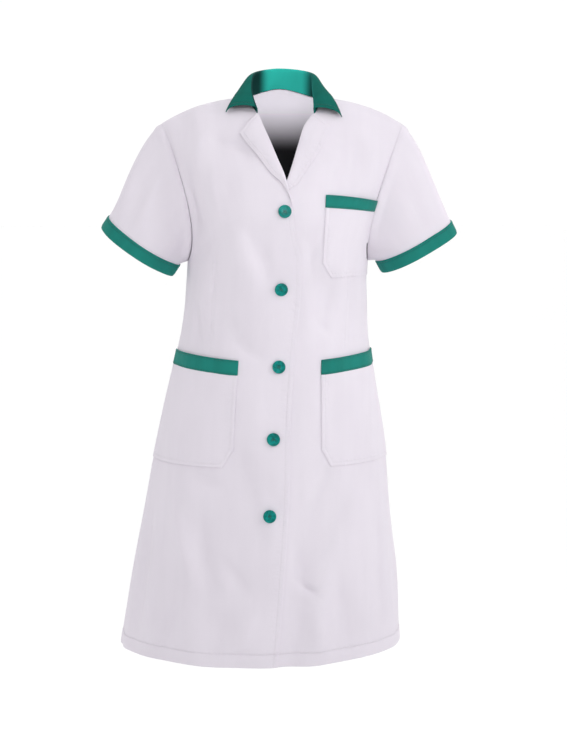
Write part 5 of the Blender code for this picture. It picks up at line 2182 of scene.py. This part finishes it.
RIGHT_FRONT_CREASES = creases(
    (-0.01, -0.302, -0.07, -0.18, 0.015, -0.006, 0.004, 1.8),
    (-0.004, -0.27, -0.036, -0.2, 0.012, 0.002, 0.003),
    (-0.012, -0.405, -0.074, -0.368, 0.007, -0.0026, -0.003, 1.8),
    (-0.07, -0.52, -0.008, -0.645, 0.019, -0.0075, 0.004, 2.0),
    (-0.04, -0.56, 0.008, -0.7, 0.011, 0.004, -0.003),
    (-0.14, -0.578, -0.072, -0.598, 0.012, -0.0048, 0.0, 1.7),
    (-0.16, -0.575, -0.104, -0.78, 0.0145, 0.0058, 0.004),
    (-0.124, -0.595, -0.08, -0.78, 0.0145, -0.0058, 0.003, 1.5),
    (-0.09, -0.69, -0.03, -0.775, 0.012, -0.0044, -0.003),
    (-0.184, -0.62, -0.202, -0.865, 0.014, -0.0056, 0.0, 1.6),
    (-0.14, -0.745, -0.162, -0.88, 0.013, -0.005, 0.003),
    (-0.066, -0.785, -0.1, -0.885, 0.014, -0.0054, 0.0, 1.5),
    (-0.02, -0.77, -0.044, -0.87, 0.012, 0.0036, 0.003),
    (-0.06, -0.858, -0.02, -0.846, 0.006, -0.0026),
    (-0.126, -0.034, -0.05, -0.08, 0.0155, -0.0062, 0.003, 1.8),
    (-0.08, -0.044, -0.052, -0.1, 0.0115, -0.0046),
    (-0.15, -0.06, -0.128, -0.21, 0.015, -0.0056, 0.004, 1.4),
    (-0.108, -0.06, -0.098, -0.19, 0.015, 0.004),
    (-0.134, -0.236, -0.085, -0.19, 0.009, -0.0032, 0.004, 1.7),
    (-0.1, -0.3, -0.06, -0.382, 0.0115, -0.0046, -0.003, 1.5),
    (-0.132, -0.3, -0.12, -0.4, 0.011, -0.0044),
    (-0.104, -0.395, -0.109, -0.205, 0.003, -0.0018),
)

LEFT_FRONT_CREASES = creases(
    (0.066, -0.195, 0.03, -0.276, 0.0125, -0.005, 0.003, 1.7),
    (0.083, -0.255, 0.06, -0.38, 0.013, -0.0052, 0.004, 1.8),
    (0.045, -0.33, 0.094, -0.38, 0.008, -0.0022),
    (0.138, -0.565, 0.048, -0.76, 0.0155, -0.0062, 0.007, 1.8),
    (0.088, -0.55, 0.038, -0.66, 0.011, -0.0042, -0.004),
    (0.026, -0.67, 0.054, -0.76, 0.012, -0.0048, 0.0, 1.5),
    (0.036, -0.732, 0.09, -0.776, 0.005, -0.0038, 0.003),
    (0.042, -0.75, 0.098, -0.752, 0.005, -0.0036, 0.005),
    (0.092, -0.69, 0.124, -0.865, 0.014, -0.0056, -0.004, 1.7),
    (0.066, -0.78, 0.096, -0.88, 0.012, 0.0042),
    (0.163, -0.59, 0.187, -0.86, 0.014, -0.0052, 0.0, 1.5),
    (0.11, -0.036, 0.056, -0.066, 0.0125, -0.005, -0.003, 1.6),
    (0.084, -0.06, 0.06, -0.15, 0.011, -0.0044, -0.003, 1.4),
    (0.11, -0.03, 0.08, -0.15, 0.012, -0.0036, -0.004, 1.5),
    (0.134, -0.232, 0.092, -0.3, 0.009, -0.0032, 0.0, 1.6),
    (0.111, -0.395, 0.11, -0.3, 0.0028, -0.0016),
)

BACK_CREASES = creases(
    (-0.06, -0.395, -0.112, -0.35, 0.0085, -0.0034, 0.003, 1.7),
    (0.045, -0.402, 0.114, -0.352, 0.009, -0.0036, -0.003, 1.6),
    (-0.034, -0.424, 0.044, -0.405, 0.007, -0.0028, 0.003),
    (-0.12, -0.48, -0.085, -0.78, 0.014, -0.0044, 0.006, 1.5),
    (0.11, -0.47, 0.13, -0.8, 0.015, -0.0044, -0.005, 1.5),
    (0.02, -0.52, -0.015, -0.83, 0.013, -0.0036, 0.004),
    (-0.05, -0.6, -0.04, -0.85, 0.014, 0.0032, -0.004),
    (-0.17, -0.62, -0.19, -0.85, 0.012, -0.0036, 0.0, 1.5),
    (0.17, -0.64, 0.188, -0.86, 0.012, -0.0034, 0.0, 1.5),
    (-0.145, -0.225, -0.064, -0.145, 0.01, -0.0038, 0.004, 1.7),
    (0.145, -0.225, 0.07, -0.155, 0.01, -0.0036, -0.004, 1.7),
    (-0.085, -0.06, 0.08, -0.068, 0.012, -0.0026, 0.004),
    (0.03, -0.12, 0.012, -0.3, 0.015, -0.0022, 0.003),
)

RIGHT_SLEEVE_CREASES = creases(
    (-0.124, 0.05, -0.07, 0.16, 0.0125, -0.005, 0.005, 1.7),
    (-0.06, 0.004, -0.05, 0.14, 0.012, -0.0046, 0.004, 1.4),
    (-0.02, 0.02, -0.01, 0.19, 0.014, 0.0038),
    (0.05, 0.02, 0.065, 0.15, 0.012, -0.0034, 0.0, 1.6),
    (0.11, 0.05, 0.085, 0.13, 0.009, -0.0034, -0.004),
    (-0.156, 0.012, -0.118, 0.11, 0.013, -0.0052),
)

LEFT_SLEEVE_CREASES = creases(
    (-0.13, 0.04, -0.08, 0.15, 0.0125, -0.005, -0.004, 1.7),
    (-0.07, 0.0, -0.062, 0.135, 0.012, -0.0046, -0.004, 1.4),
    (-0.03, 0.03, -0.022, 0.185, 0.015, 0.0036),
    (0.045, 0.03, 0.058, 0.16, 0.012, -0.0032, 0.0, 1.6),
    (0.115, 0.045, 0.08, 0.135, 0.009, -0.0034, 0.004),
)


def main() -> None:
    """Makes the finishes, every piece of the tunic and the studio, in that order."""
    logging.basicConfig(level=logging.INFO, format="%(name)s: %(message)s")
    wardrobe = Wardrobe.make()
    form = WornForm()
    back = Back(form, Face.BACK, BACK_CREASES, Waves(5))
    right = Front(form, Face.FRONT, RIGHT_FRONT_CREASES, Waves(11), side=Side.RIGHT)
    left = Front(form, Face.FRONT, LEFT_FRONT_CREASES, Waves(23), side=Side.LEFT, over=right)
    back.build(wardrobe)
    right.build(wardrobe)
    left.build(wardrobe)
    hip = {"top": -0.403, "band_foot": -0.425, "corner": -0.539, "bottom": -0.566,
           "clear_below": form.hem}
    chest = {"top": -0.1425, "band_foot": -0.162, "corner": -0.25, "bottom": -0.273,
             "clear_below": -0.2155}
    Pocket("pocket_hip_right", right, shift=-0.004, **hip).build(wardrobe)
    Pocket("pocket_hip_left", left, **hip).build(wardrobe)
    Pocket("pocket_chest", left, **chest).build(wardrobe)
    Lapel(left, start=-0.136, corner=-0.034).build(wardrobe)
    Lapel(right, start=-0.159, corner=-0.0445).build(wardrobe)
    Collar(form, (right, left), back).build(wardrobe)
    arms = (
        (Arm(Side.RIGHT, (-0.23, -0.005, -0.2352), 56.0, 0.2), RIGHT_SLEEVE_CREASES, 31),
        (Arm(Side.LEFT, (0.2186, -0.005, -0.2375), 61.5, 0.13), LEFT_SLEEVE_CREASES, 37),
    )
    for arm, creases, seed in arms:
        Sleeve(form, arm, creases, Waves(seed)).build(wardrobe)
    buttons = Table(
        ("height", "across", "turned"),
        ((-0.17, 0.0, 4.0), (-0.289, -0.001, -6.0), (-0.41, 0.0, 2.0),
         (-0.521, -0.0048, 8.0), (-0.639, -0.006, -12.0)),
    )
    for number, row in enumerate(buttons.named(), 1):
        Button(number, right, **row).build(wardrobe)
    Studio().build(form)


if __name__ == "__main__":
    main()
